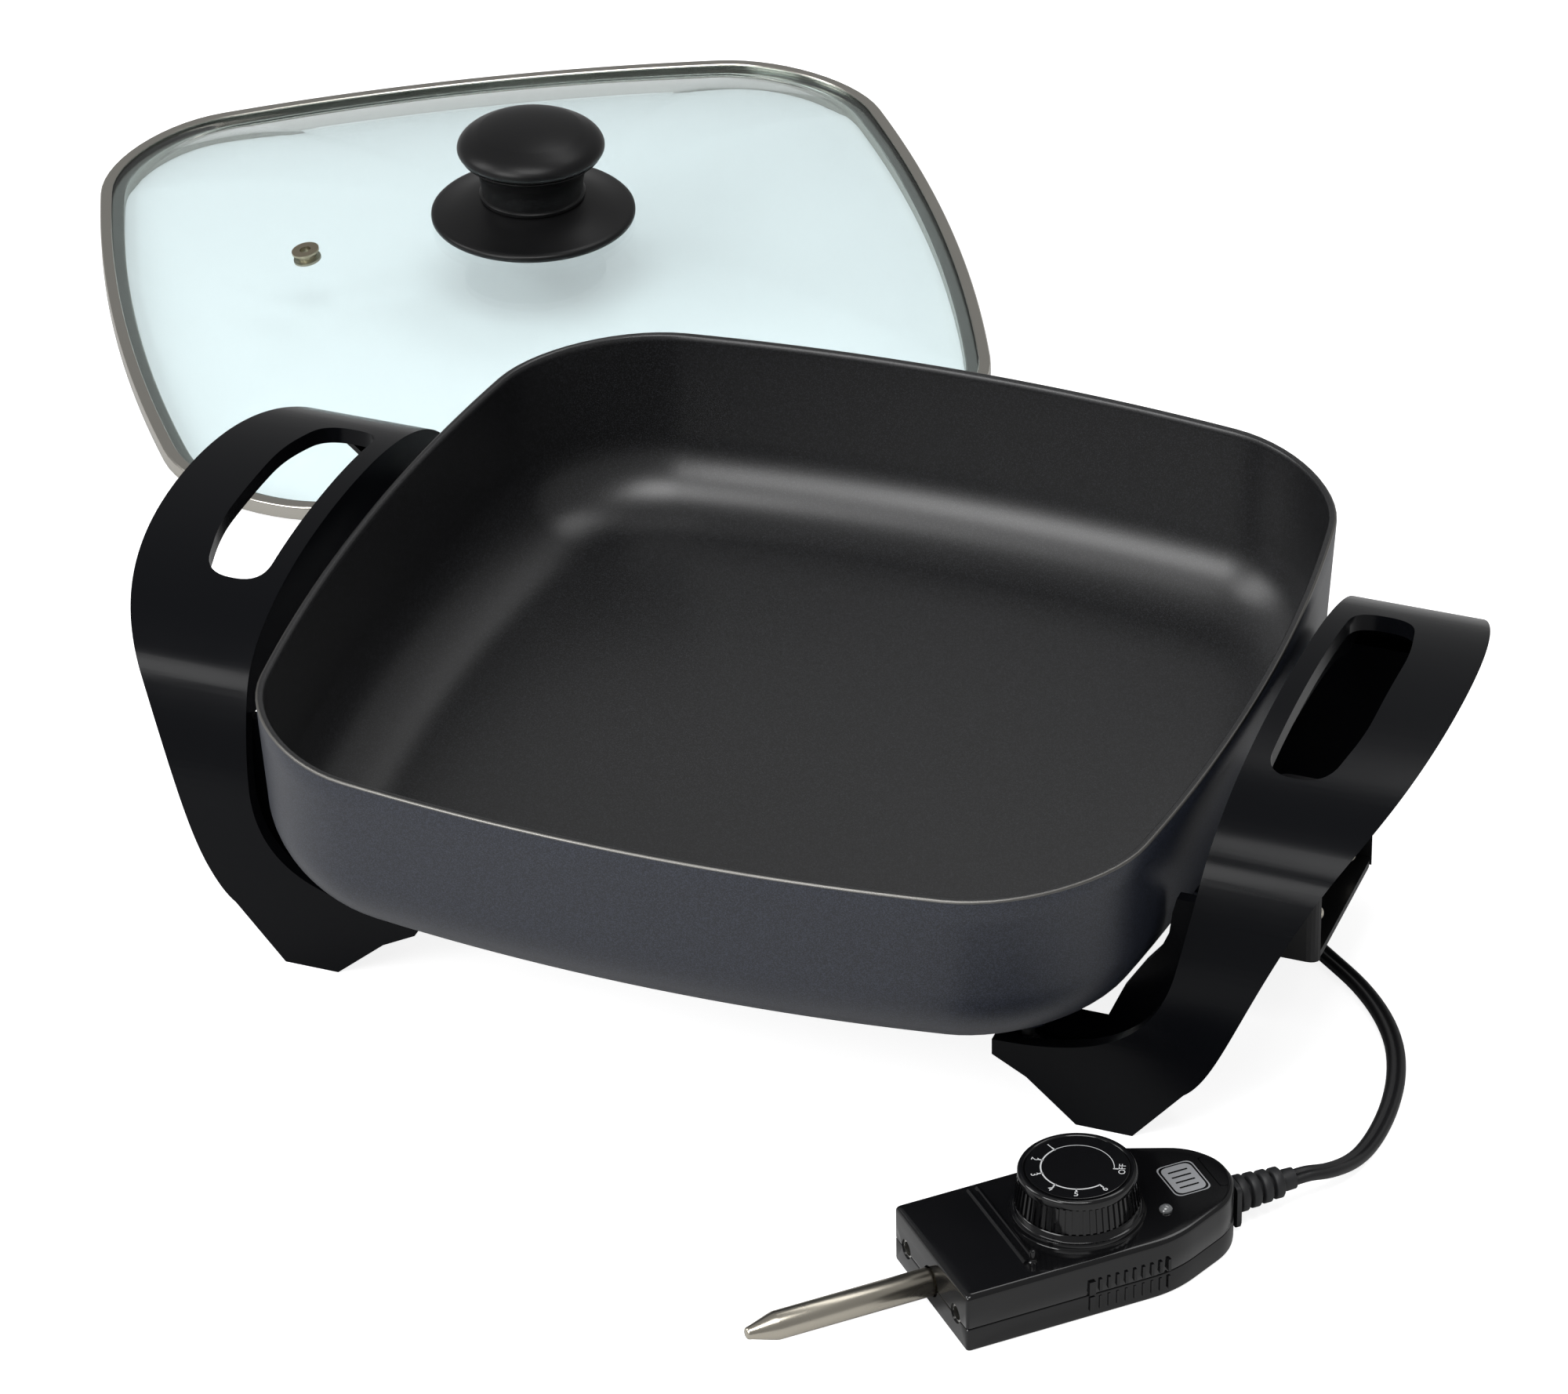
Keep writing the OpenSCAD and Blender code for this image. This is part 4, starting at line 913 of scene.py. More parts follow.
@dataclass
class Handle:
    """One moulded handle with its grip, hand hole, legs and feet.

    The curves' pulls are written as offsets from the corner that they start or end at.
    """

    pan_half: float = 150
    under_z: float = 42
    grip_z: float = 111.5
    grip_gap: float = 7.5
    grip_w: float = 55
    band: float = 4.5
    leg_wall: float = 4
    foot_y: float = 97
    foot_depth: float = 22
    foot_w: float = 18
    foot_inset: float = 28
    wing_reach: float = 27
    wing_drop: float = 16.5
    hole_half: float = 48
    hole_w: float = 24.5
    hole_corner: float = 9
    inner_bar: float = 6.5
    lip: float = 2.5
    lip_rise: float = 1
    rim_w: float = 2.5
    rim_start: float = 22
    apron: float = 19
    apron_drop: float = 12
    base_curve: float = 30
    leg_side: float = 146
    leg_top_drop: float = 10.5
    knee_drop: float = 24
    knee_in: float = 16.5
    knee_inset: float = 20
    knee_lean: float = 31
    margin: float = 1

    def __post_init__(self) -> None:
        """Works out the heights and places that the outlines share."""
        self.foot_x0 = self.pan_half - self.foot_inset
        self.foot_x1 = self.foot_x0 + self.foot_w
        self.wing_x = self.foot_x0 - self.wing_reach
        self.x0 = self.pan_half + self.grip_gap
        self.x1 = self.x0 + self.grip_w
        self.wing_z = self.under_z - self.wing_drop
        self.knee_z = self.grip_z - self.knee_drop
        self.knee_y = self.foot_y - self.knee_in

    def arch(self, thick: float) -> list[Point2]:
        """The arch seen from the side, as a band that thick.

        Args:
            thick: how thick the band is.

        Returns:
            Its points in Y and Z.
        """
        wz, kz, ky, gz, fy = self.wing_z, self.knee_z, self.knee_y, self.grip_z, self.foot_y
        half = [(fy, 0)] + [(fy, wz * k) for k in (0.3, 0.6, 0.9)]
        half += bezier((fy, wz + 4.5), (fy, wz + 22.5), (ky + 9, kz - 16), (ky, kz), 24)
        half += bezier((ky, kz), (ky - 8, kz + 14.1), (fy - 51.5, gz), (0, gz), 36)[1:]
        path = np.array(half + [(-y, z) for y, z in half[-2::-1]])
        return [tuple(p) for p in path] + [tuple(p) for p in offset_line(path, thick)[::-1]]

    def edge_out(self) -> list[Point2]:
        """The outer edge seen from the front, from the sole up, with one slope on both sides of the knee.

        Returns:
            Its points in X and Z.
        """
        x0, x1, kz = self.foot_x1, self.x1, self.knee_z + self.margin
        kx, a = x1 - self.knee_inset, math.radians(self.knee_lean)
        low = bezier((x0 + 16, 19), (x0 + 27, 27), (kx - 37 * math.sin(a), kz - 37 * math.cos(a)), (kx, kz), 28)
        high = bezier(
            (kx, kz), (kx + 10 * math.sin(a), kz + 10 * math.cos(a)), (x1 - 7.5, self.grip_z - 7),
            (x1, self.grip_z + self.margin), 20
        )
        return [(x0, 0)] + low + high[1:]

    def edge_in(self) -> list[Point2]:
        """The inner edge seen from the front, from the wing up.

        Returns:
            Its points in X and Z.
        """
        x0, wx, wz = self.x0, self.wing_x, self.wing_z
        low = bezier((wx, wz), (wx + 33, wz), (x0 - 11.5, self.under_z - 6), (x0 - 6.5, 58), 26)
        high = bezier((x0 - 6.5, 58), (x0 - 4, 71), (x0 - 2, self.knee_z), (x0 - 1, self.knee_z + 11), 12)
        return low + high[1:] + [(x0, self.grip_z + self.margin)]

    def sole(self) -> list[Point2]:
        """The underside of the wing and foot, from the wing's tip to the sole."""
        wx, wz = self.wing_x, self.wing_z
        return [(wx, wz - 5.5), (wx + 11, wz - 11.5), (self.foot_x0, 0)]

    def front(self) -> list[Point2]:
        """The whole outline seen from the front."""
        return self.edge_out() + self.edge_in()[::-1] + self.sole()

    def leg(self) -> list[Point2]:
        """The outline of a leg's rear wall, which follows the pan and ends below the grip.

        Returns:
            Its points in X and Z.
        """
        x, fx, wz, c = self.wing_x, self.foot_x0, self.wing_z, self.base_curve
        inner = [(x, wz + 1.5), (fx + 3, wz + 1.5), (fx + 8.5, wz + 14.5)]
        inner += [
            (self.leg_side - c * (1 - math.cos(a)), self.under_z + c * (1 - math.sin(a)))
            for a in np.radians((45, 30, 15, 0))
        ]
        inner.append((self.x0 - 7, self.knee_z + 3))
        top = self.knee_z - self.leg_top_drop
        ends = [(float(np.interp(top, [p[1] for p in e], [p[0] for p in e])), top) for e in (self.edge_out(), inner)]
        outer = [p for p in self.edge_out() if p[1] < top]
        return outer + ends + [p for p in inner if p[1] < top][::-1] + self.sole()

    def hollow(self) -> list[Point2]:
        """The space inside a leg.

        Returns:
            Its points in X and Z.
        """
        t, wx, wz = self.leg_wall, self.wing_x, self.wing_z
        inner = offset_line(np.array(self.edge_out()), t)
        return [(p[0], max(p[1], t)) for p in inner] + [
            (wx - 20, self.knee_z + 20), (wx - 20, wz - 5.5 + t), (wx + 1, wz - 5.5 + t),
            (wx + 12.5, wz - 11.5 + t), (self.foot_x0 + 2, t)]

    def hole(self, grow: float) -> list[Point2]:
        """The hand hole's outline from above.

        Args:
            grow: how much larger it is all round.

        Returns:
            Its points in X and Y.
        """
        h, x0 = self.hole_half + grow, self.x0 + self.inner_bar - grow
        x1 = self.x0 + self.inner_bar + self.hole_w + grow
        corners = [(x0, -h), (x1 - 5, -h), (x1, -h / 2), (x1, h / 2), (x1 - 5, h), (x0, h)]
        return rounded_outline(corners, self.hole_corner)

    def in_arch(
        self, thick: float, outline: Sequence[Point2], axis: Axis, low: float, high: float
    ) -> bpy.types.Object:
        """What a bar of that outline has in common with the arch, taken as a band that thick."""
        return combine(prism(self.arch(thick), Axis.X, 0, 2 * self.x1), prism(outline, axis, low, high), Cut.MEET)

    def solid(self) -> bpy.types.Object:
        """The right-hand handle as one solid.

        Returns:
            The handle's object.
        """
        fy, wall = self.foot_y, self.leg_wall
        ends = (-fy - self.margin, fy + self.margin)
        body = self.in_arch(self.band, self.front(), Axis.Y, *ends)
        for y0, span in ((-fy, (ends[0], -fy + self.foot_depth - wall)),
                         (fy - self.foot_depth, (fy - self.foot_depth + wall, ends[1]))):
            leg = combine(prism(self.leg(), Axis.Y, y0, y0 + self.foot_depth),
                          prism(self.arch(self.foot_depth), Axis.X, 0, 2 * self.x1), Cut.MEET)
            combine(leg, prism(self.hollow(), Axis.Y, *span), Cut.TAKE)
            combine(body, leg, Cut.ADD)
        combine(body, self.in_arch(self.band + self.lip_rise, self.hole(self.lip), Axis.Z, self.knee_z, 140), Cut.ADD)
        apron = [p for p in self.edge_in() if p[1] > self.knee_z - self.apron_drop]
        rim = [p for p in self.edge_out() if p[1] > self.wing_z + self.rim_start]
        for edge, wide, deep in ((apron, self.rim_w, self.apron), (rim, -self.rim_w, self.band + self.rim_w)):
            strip = edge + [(x + wide, z) for x, z in edge[::-1]]
            combine(body, self.in_arch(deep, strip, Axis.Y, *ends), Cut.ADD)
        combine(body, prism(self.hole(0), Axis.Z, self.knee_z - 40, self.knee_z + 80), Cut.TAKE)
        bm = bmesh.new()
        bm.from_mesh(body.data)
        body.data = finish_mesh(bm, "handle", sharp=35)
        return body

    def build(self, palette: Palette) -> None:
        """Makes both handles, the left one mirrored.

        Args:
            palette: the finishes.
        """
        right = palette.dress(self.solid(), "black_moulding")
        left = piece("left_handle_moulding", right.data.copy())
        left.data.transform(Matrix.Scale(-1, 4, Vector((1, 0, 0))))
        left.data.flip_normals()
        right.name = "right_handle_moulding"
        settle(right, Body.SKILLET, "black_plastic", "right_handle")
        settle(left, Body.SKILLET, "black_plastic", "left_handle")


@dataclass
class GuardFloor:
    """The plate that closes the underside of the socket guard's mouth."""

    back: float = 147
    inset: float = 0.4
    thick: float = 2.3
    corner: float = 5

    def build(self, palette: Palette) -> None:
        """Makes the plate inside the guard's own outline.

        Args:
            palette: the finishes.
        """
        low, high = (np.array(corner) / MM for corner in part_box("socket_guard"))
        y, x = high[1] - self.inset, high[0] - self.inset
        outline = rounded_outline([(self.back, -y), (x, -y), (x, y), (self.back, y)], self.corner)
        plate = prism(outline, Axis.Z, low[2] + self.inset, low[2] + self.inset + self.thick)
        plate.name = "guard_floor"
        settle(palette.dress(plate, "guard_moulding"), Body.SKILLET, "black_plastic")


# ---------------------------------------------------------------- lid


@dataclass
class Lid:
    """The loose lid: domed glass, folded steel rim, and the three mouldings of its knob."""

    x: float = -226
    y: float = 322
    turn: float = 31.75
    half: float = 154.5
    corner: float = 49.5
    bow: float = 14
    skirt_h: float = 4.4
    sheet: float = 0.8
    glass: float = 3.75
    rise: float = 25
    channel: float = 8.9
    skirt_inset: float = 8.1
    lip: float = 4.2
    seat: float = 0.1
    dome_power: float = 2.6
    flat_share: float = 0.16
    knob_h: float = 37.5
    knob_r: float = 26.8
    flange_r: float = 37
    neck_r: float = 18.6
    stud_r: float = 3.0

    def __post_init__(self) -> None:
        """Works out the heights that the lid's pieces share."""
        self.place = on_table(self.x, self.y, self.turn)
        self.edge_z = self.skirt_h + self.sheet + self.seat
        self.top_z = self.edge_z + self.glass + self.seat + self.sheet
        self.flat_z = self.edge_z + self.glass + self.height(self.flat_share)

    def height(self, share: float) -> float:
        """Rise of the glass above its edge, at a share of the way out."""
        return self.rise * (1 - share**self.dome_power)

    def ring(self, inset: float, z: float) -> np.ndarray:
        """The rim's outline drawn in by inset, at height z."""
        return at_height(bowed_square(self.half - inset, self.corner - inset, self.bow * (1 - inset / self.half)), z)

    def dome(self, share: float, z: float) -> np.ndarray:
        """A ring of the dome at a share of the way out."""
        flat = bowed_square(self.half - self.channel, self.corner - self.channel, self.bow)
        return at_height(flat * share, z + self.height(max(share, self.flat_share)))

    def glass_mesh(self) -> bpy.types.Mesh:
        """The glass, a closed sheet with a rounded edge.

        Returns:
            The mesh, in metres.
        """
        shares = [0.02, 0.08] + list(np.linspace(self.flat_share, 1, 30))
        low, high = self.edge_z, self.edge_z + self.glass
        inset = self.sheet + self.seat
        rings = [self.dome(s, low) for s in shares]
        rings += [self.ring(inset, low), self.ring(inset, high)]
        rings += [self.dome(s, high) for s in reversed(shares)]
        return skinned("glass", rings, 60, self.place)

    def rim_mesh(self) -> bpy.types.Mesh:
        """The folded rim, with rounded folds.

        Returns:
            The mesh, in metres.
        """
        low, top, t = self.skirt_h, self.top_z, self.sheet
        r = 1.1
        fold = [(r * (1 - math.cos(a)), top - r * (1 - math.sin(a))) for a in np.radians(np.arange(0, 91, 15))]
        foot = [(0.7 * (1 - math.sin(a)), low + 0.7 * (1 - math.cos(a))) for a in np.radians(np.arange(0, 91, 30))]
        inner = t - 0.02
        section = foot + fold + [(self.lip - 0.3, top), (self.lip, top - 0.3), (self.lip, top - t), (inner, top - t),
                                 (inner, low + t), (self.channel - 0.4, low + t), (self.channel, low + t - 0.4),
                                 (self.channel, 0.2), (self.channel - 0.2, 0), (self.skirt_inset + 0.2, 0),
                                 (self.skirt_inset, 0.2), (self.skirt_inset, low)]
        return skinned("rim", [self.ring(i, z) for i, z in section], 40, self.place, ring_closed=True)

    def flange_profile(self) -> list[Point2]:
        """The heat flange: a thin disc that rises to the neck.

        Returns:
            Points of radius and height.
        """
        r, n = self.flange_r, self.neck_r
        rim = [(r - 0.9, 0.1), (r - 0.35, 0.25), (r - 0.05, 0.7), (r, 1.3), (r - 0.1, 2.0), (r - 0.8, 2.7)]
        slope = bezier((r - 2, 3.0), (r - 9, 4.7), (n + 6, 7.0), (n - 1, 8.4), 24)
        return [(self.stud_r, 0.1), *rim, *slope, (self.stud_r, 8.4), (self.stud_r, 0.1)]

    def neck_profile(self, tall: float) -> list[Point2]:
        """The neck, which flares out under the cap.

        Args:
            tall: its height.

        Returns:
            Points of radius and height.
        """
        k, n = self.knob_r, self.neck_r
        foot = [(n + 0.5, 0), (n + 0.6, 0.2), (n + 0.6, 1.2), (n + 0.3, 1.5)]
        flare = bezier((n - 0.2, 1.8), (n, 10), (k - 6.5, 12.5), (k - 1.5, tall - 0.3), 24)
        return [(self.stud_r, 0), *foot, *flare, (k - 1.6, tall), (self.stud_r, tall), (self.stud_r, 0)]

    def cap_profile(self, rise: float) -> list[Point2]:
        """The cap: a flat underside, a full rim and a low crown.

        Args:
            rise: how far it rises above the joint with the neck.

        Returns:
            Points of radius and height.
        """
        k = self.knob_r
        rim = bezier((k - 1.6, 0.1), (k + 0.9, 1.4), (k + 0.6, 5), (k - 5.5, rise - 3.2), 26)
        crown = bezier((k - 7, rise - 2.2), (k - 12, rise - 0.2), (8, rise + 0.9), (0, rise + 0.9), 18)
        return [(0, 0), (k - 2.2, 0), *rim, *crown[1:]]

    def build(self, palette: Palette) -> None:
        """Makes the lid's pieces and sets them in the frame.

        Args:
            palette: the finishes.
        """
        add(palette, "lid_pane", self.glass_mesh(), "tinted_glass", Body.LID, "tinted_glass", "lid_glass")
        add(palette, "lid_fold", self.rim_mesh(), "rim_steel", Body.LID, "rim_steel", "lid_rim")
        neck_z, cap_z = self.flat_z + 8.5, self.flat_z + self.knob_h - 11
        knob = (
            ("knob_heat_flange", "flange", self.flat_z, self.flange_profile(), "knob_flange"),
            ("knob_stem", "neck", neck_z + 0.1, self.neck_profile(cap_z - neck_z - 1.2), "knob_neck"),
            ("knob_top", "cap", cap_z - 0.9, self.cap_profile(self.flat_z + self.knob_h - cap_z), "knob_cap"),
        )
        for name, label, z, profile, node in knob:
            mesh = turned(label, profile, 128, self.place @ Matrix.Translation((0, 0, z * MM)), 38, merge=True)
            add(palette, name, mesh, "knob_moulding", Body.LID, "knob_plastic", node)


# ---------------------------------------------------------------- control


@dataclass
class Control:
    """The plug-in control: shells, probe, strain relief, badge, dial and its printed scale."""

    x: float = 110.5
    y: float = -196
    turn: float = 44.5
    width: float = 50
    straight: float = 66
    end: float = 31
    height: float = 20
    split: float = 8.3
    axis_h: float = 9
    probe_d: float = 8.7
    probe_len: float = 59
    dial_u: float = 47.5
    dial_d: float = 35.4
    dial_h: float = 11.2
    collar_h: float = 4
    ribs: int = 56
    dial_flare: float = 0.065
    contact_v: float = 17
    contact_bore_r: float = 3.1
    relief_len: float = 22
    relief_ribs: int = 4
    relief_pitch: float = 4
    badge_u: float = 82.6
    badge_v: float = 0.4

    # where each mark of the scale stands, in degrees about the dial
    MARKS = {"OFF": 15, "1": 147, "2": 181, "3": 215, "4": 252, "5": 287, "6": 326}

    def __post_init__(self) -> None:
        """Works out where the control lies."""
        self.place = on_table(self.x, self.y, self.turn)
        self.length = self.straight + self.end
        self.dial_z = self.height + self.collar_h + 0.3

    def at(self, u: float, v: float, z: float) -> Matrix:
        """A place on the control, u towards the cord and v to its left."""
        return self.place @ Matrix.Translation((u * MM, v * MM, z * MM))

    def along(self, u: float, v: float) -> Matrix:
        """A place at the probe's height whose own Z points towards the cord."""
        return self.at(u, v, self.axis_h) @ Matrix.Rotation(math.radians(90), 4, "Y")

    def on_dial(self, z: float, turn: float = 0) -> Matrix:
        """A place on the dial's axis, turned about it by turn degrees."""
        return self.at(self.dial_u, 0, z) @ Matrix.Rotation(math.radians(turn), 4, "Z")

    def plan(self, inset: float) -> np.ndarray:
        """The control's outline from above: square front, tapered sides, rounded rear.

        Args:
            inset: how far it is drawn in.

        Returns:
            Its points along and across the control.
        """
        w, end = self.width / 2 - inset, self.length - inset
        shoulder = self.straight + 2 - 0.2 * inset
        bends = [(inset, w, 1.2), (shoulder, w, 8), (end - 5.5, 0.575 * w, 6), (end, 0.2 * w, 4)]
        knots = [np.array(q, float) for q in [(inset, 0)] + [b[:2] for b in bends] + [(end, 0)]]
        half = []
        for a, p, b, (_, _, r) in zip(knots, knots[1:], knots[2:], bends):
            u, v = (q / np.linalg.norm(q) * r for q in (a - p, b - p))
            half += [tuple(p + u * (1 - t) ** 2 + v * t * t) for t in np.linspace(0, 1, 7)]
            if p is knots[1]:
                half += [(x, w) for x in (10, 24, 38, 52)]
        return np.array([(u, -v) for u, v in half] + half[::-1])

    def shell(self, name: str, levels: Sequence[Point2]) -> bpy.types.Object:
        """A shell of the control, with its front bores cut.

        Args:
            name: the mesh's name.
            levels: its (inset, height) levels, from the bottom up.

        Returns:
            The shell.
        """
        made = piece(name, skinned(name, [at_height(self.plan(i), z) for i, z in levels], 50, self.place))
        contact = self.contact_bore_r
        for v, r in ((0, self.probe_d / 2 + 0.5), (self.contact_v, contact), (-self.contact_v, contact)):
            bore = turned("bore", [(0, -3), (r, -3), (r, 14), (0, 14)], 40, self.along(0, v))
            combine(made, piece("bore", bore), Cut.TAKE)
        bored = bmesh.new()
        bored.from_mesh(made.data)
        made.data = finish_mesh(bored, name, sharp=35)
        return made

    def top_levels(self) -> list[Point2]:
        """Levels of the upper shell, with its rounded top edge.

        Returns:
            (inset, height) points, from the bottom up.
        """
        r, top = 1.7, self.height
        seam = [(0.5, self.split + 0.02), (0.18, self.split + 0.06), (0, self.split + 0.35), (0, 14)]
        round_edge = [(r * (1 - math.cos(a)), top - r * (1 - math.sin(a))) for a in np.radians(np.arange(0, 91, 15))]
        return seam + round_edge + [(4, top)]

    def bottom_levels(self) -> list[Point2]:
        """Levels of the lower shell, with its rounded bottom edge.

        Returns:
            (inset, height) points, from the bottom up.
        """
        r = 1.2
        round_edge = [(r * (1 - math.sin(a)), r * (1 - math.cos(a))) for a in np.radians(np.arange(0, 91, 18))]
        seam = [(0, self.split - 0.45), (0.18, self.split - 0.16), (0.5, self.split - 0.12)]
        return [(4, 0)] + round_edge + seam

    def finger_ribs(
        self, palette: Palette, repeat: Repeat, fine: tuple[Point3, float], broad: tuple[Point3, float]
    ) -> list[bpy.types.Object]:
        """The finger ribs on both sides of a shell: a row of nine and a broader one ahead of it.

        Args:
            palette: the finishes.
            repeat: the node trees that make the ribs.
            fine: the size of a rib in the row, and the height of its middle.
            broad: the same of the broader rib.

        Returns:
            The ribs.
        """
        made = []
        gloss = palette["gloss_moulding"]
        for side in (-1, 1):
            v = side * (self.width / 2 - 0.1)
            for (size, z), count, pitch, u in ((fine, 9, 2.8, 43), (broad, 1, 1, 40.2)):
                made.append(repeat.make("ribs", Run.ROW, count, pitch, size, gloss, self.at(u, v, z)))
        return made

    def deck(self, palette: Palette) -> bpy.types.Object:
        """What stands on the upper shell: the dial's collar, two ridges and the pointer.

        Args:
            palette: the finishes.

        Returns:
            All of it as one object.
        """
        bm = bmesh.new()
        c, h = self.dial_d / 2, self.collar_h
        brim = [(c + 2.9, -0.3), (c + 2.5, 0.15), (c + 2.3, 0.6), (c + 2.3, 1.3), (c + 2.0, 1.75), (c + 1.3, 1.85)]
        collar = [(0, -0.3), *brim, (c + 1.05, 2.1), (c + 1.0, h - 0.4), (c + 0.6, h), (0, h)]
        lathe(bm, collar, 128, self.on_dial(self.height))
        ridge = [(-0.85, -0.2), (0.85, -0.2), (0.5, 0.5), (0.2, 0.8), (-0.2, 0.8), (-0.5, 0.5)]
        for u in (22.6, 25.4):
            loft(bm, [np.array([(u + a, v, self.height + b) for a, b in ridge]) for v in (-17, 22)], place=self.place)
        pointer = [(0, -0.3), (1.9, -0.3), (1.3, 0.3), (1.05, 1.0), (1.0, 3.2), (0.7, 3.75), (0, 3.9)]
        lathe(bm, pointer, 24, self.at(25, -16.6, self.height))
        return palette.dress(piece("collar", finish_mesh(bm, "collar", sharp=45)), "gloss_moulding")

    def contact_rings(self, palette: Palette) -> bpy.types.Object:
        """The metal rings in the two contact holes.

        Args:
            palette: the finishes.

        Returns:
            Both rings as one object.
        """
        bm = bmesh.new()
        for v in (-self.contact_v, self.contact_v):
            lathe(bm, [(2.2, 0), (3.0, 0), (3.0, 2.4), (2.2, 2.4), (2.2, 0)], 40, self.along(0.5, v))
        bmesh.ops.remove_doubles(bm, verts=bm.verts[:], dist=MERGE_M)
        return palette.dress(piece("contacts", finish_mesh(bm, "contacts", sharp=45)), "bright_steel")

    def build_shells(self, palette: Palette, repeat: Repeat) -> None:
        """Makes both shells with what is moulded onto them, and the contact rings.

        Args:
            palette: the finishes.
            repeat: the node trees that make the ribs.
        """
        top = palette.dress(self.shell("upper", self.top_levels()), "gloss_moulding")
        parts = [top, self.deck(palette), self.contact_rings(palette)]
        parts += self.finger_ribs(palette, repeat, ((0.9, 1.3, 4.2), 11.3), ((2.0, 1.7, 4.6), 11.0))
        settle(join("control_top", parts), Body.CONTROL, "gloss_plastic", "control_upper_shell")
        low = [palette.dress(self.shell("lower", self.bottom_levels()), "gloss_moulding")]
        low += self.finger_ribs(palette, repeat, ((0.7, 0.9, 4.6), 5.0), ((1.6, 1.5, 5.0), 5.3))
        settle(join("control_base", low), Body.CONTROL, "gloss_plastic", "control_lower_shell")

    def build_dial(self, palette: Palette, repeat: Repeat) -> None:
        """Makes the dial with its knurled skirt, and the scale printed on it.

        Args:
            palette: the finishes.
            repeat: the node trees that make the ribs.
        """
        r, top = self.dial_d / 2, self.dial_h
        foot = r * (1 + self.dial_flare)
        side = [(foot - 0.8, 0), (foot - 0.62, 0.2), (r - 0.62, top - 3.0), (r - 0.05, top - 2.75), (r, top - 2.4)]
        edge = [(r, top - 0.9), (r - 0.25, top - 0.4), (r - 0.7, top - 0.08), (r - 1.2, top), (r - 1.7, top - 0.08)]
        recess = [(r - 2.0, top - 0.35), (r - 2.2, top - 0.6), (0, top - 0.6)]
        skirt = turned("skirt", [(0, 0), *side, *edge, *recess], 144, self.on_dial(self.dial_z), 50)
        height = top - 3.2
        ribs = repeat.make("knurl", Run.RING, self.ribs, r - 0.62, (1.1, 0.75, height), palette["gloss_moulding"],
                           Matrix.Translation((0, 0, (height / 2 + 0.15) * MM)))
        for vert in ribs.data.vertices:
            grow = 1 + self.dial_flare * (1 - vert.co.z / (height * MM))
            vert.co.x *= grow
            vert.co.y *= grow
        ribs.data.transform(self.on_dial(self.dial_z))
        grip = [palette.dress(piece("skirt", skirt), "gloss_moulding"), ribs]
        settle(join("dial_grip", grip), Body.DIAL, "gloss_plastic", "dial_knob")
        profile = [(0, 0), (r - 2.3, 0), (r - 2.3, 0.4), (r - 2.45, 0.45), (r - 2.6, 0.45), (0, 0.45)]
        disc = turned("disc", profile, 96, self.on_dial(self.dial_z + top - 0.5), 50)
        face = [palette.dress(piece("disc", disc), "gloss_moulding"), *self.scale(palette)]
        settle(join("dial_scale", face), Body.DIAL, "dial_print", "dial_disc")

    def scale(self, palette: Palette) -> list[bpy.types.Object]:
        """The printed scale: a thin and a thick arc, ticks and numbers.

        The angles of MARKS count from the table's X axis, so the control's own turn comes off them.

        Args:
            palette: the finishes.

        Returns:
            Each mark as its own object.
        """
        z = self.dial_z + self.dial_h - 0.04
        arc_r, tick_r, word_r, tick_half = 10.8, 11.25, 13.2, 1.15
        marks = self.MARKS
        parts = [self.arc(marks["OFF"], marks["1"], arc_r, 0.22), self.arc(marks["1"], marks["6"], arc_r, 0.45)]
        parts += [self.arc(a - tick_half, a + tick_half, tick_r, 1.6) for a in marks.values()]
        for mark in parts:
            mark.data.transform(self.on_dial(z, -self.turn))
        for word, angle in marks.items():
            text = self.word(word, 2.9 if word == "OFF" else 3.1)
            spot = Matrix.Rotation(math.radians(angle - self.turn), 4, "Z") @ Matrix.Translation((word_r * MM, 0, 0))
            text.data.transform(self.on_dial(z) @ spot @ Matrix.Rotation(math.radians(90), 4, "Z"))
            parts.append(text)
        return [palette.dress(mark, "dial_print") for mark in parts]

    def arc(self, start: float, stop: float, radius: float, width: float) -> bpy.types.Object:
        """A flat arc of the scale.

        Args:
            start, stop: the angles of its ends, in degrees.
            radius: the radius of its middle line.
            width: its width.

        Returns:
            The arc.
        """
        angles = np.radians(np.linspace(start, stop, max(2, int((stop - start) / 4))))
        bm = bmesh.new()
        rows = [[bm.verts.new((r * MM * math.cos(a), r * MM * math.sin(a), 0)) for a in angles]
                for r in (radius - width / 2, radius + width / 2)]
        for i in range(len(angles) - 1):
            bm.faces.new((rows[0][i], rows[1][i], rows[1][i + 1], rows[0][i + 1]))
        return piece("arc", finish_mesh(bm, "arc", recalc=False))

    def word(self, text: str, size: float) -> bpy.types.Object:
        """Flat lettering about its own middle, as a mesh.

        Args:
            text: what it says.
            size: its size.

        Returns:
            The lettering.
        """
        curve = bpy.data.curves.new("lettering", "FONT")
        curve.body = text
        curve.size = size * MM
        curve.align_x, curve.align_y = "CENTER", "CENTER"
        holder = bpy.data.objects.new("lettering", curve)
        bpy.context.scene.collection.objects.link(holder)
        bpy.context.view_layer.update()
        mesh = bpy.data.meshes.new_from_object(holder)
        bpy.data.objects.remove(holder)
        return piece("lettering", mesh)

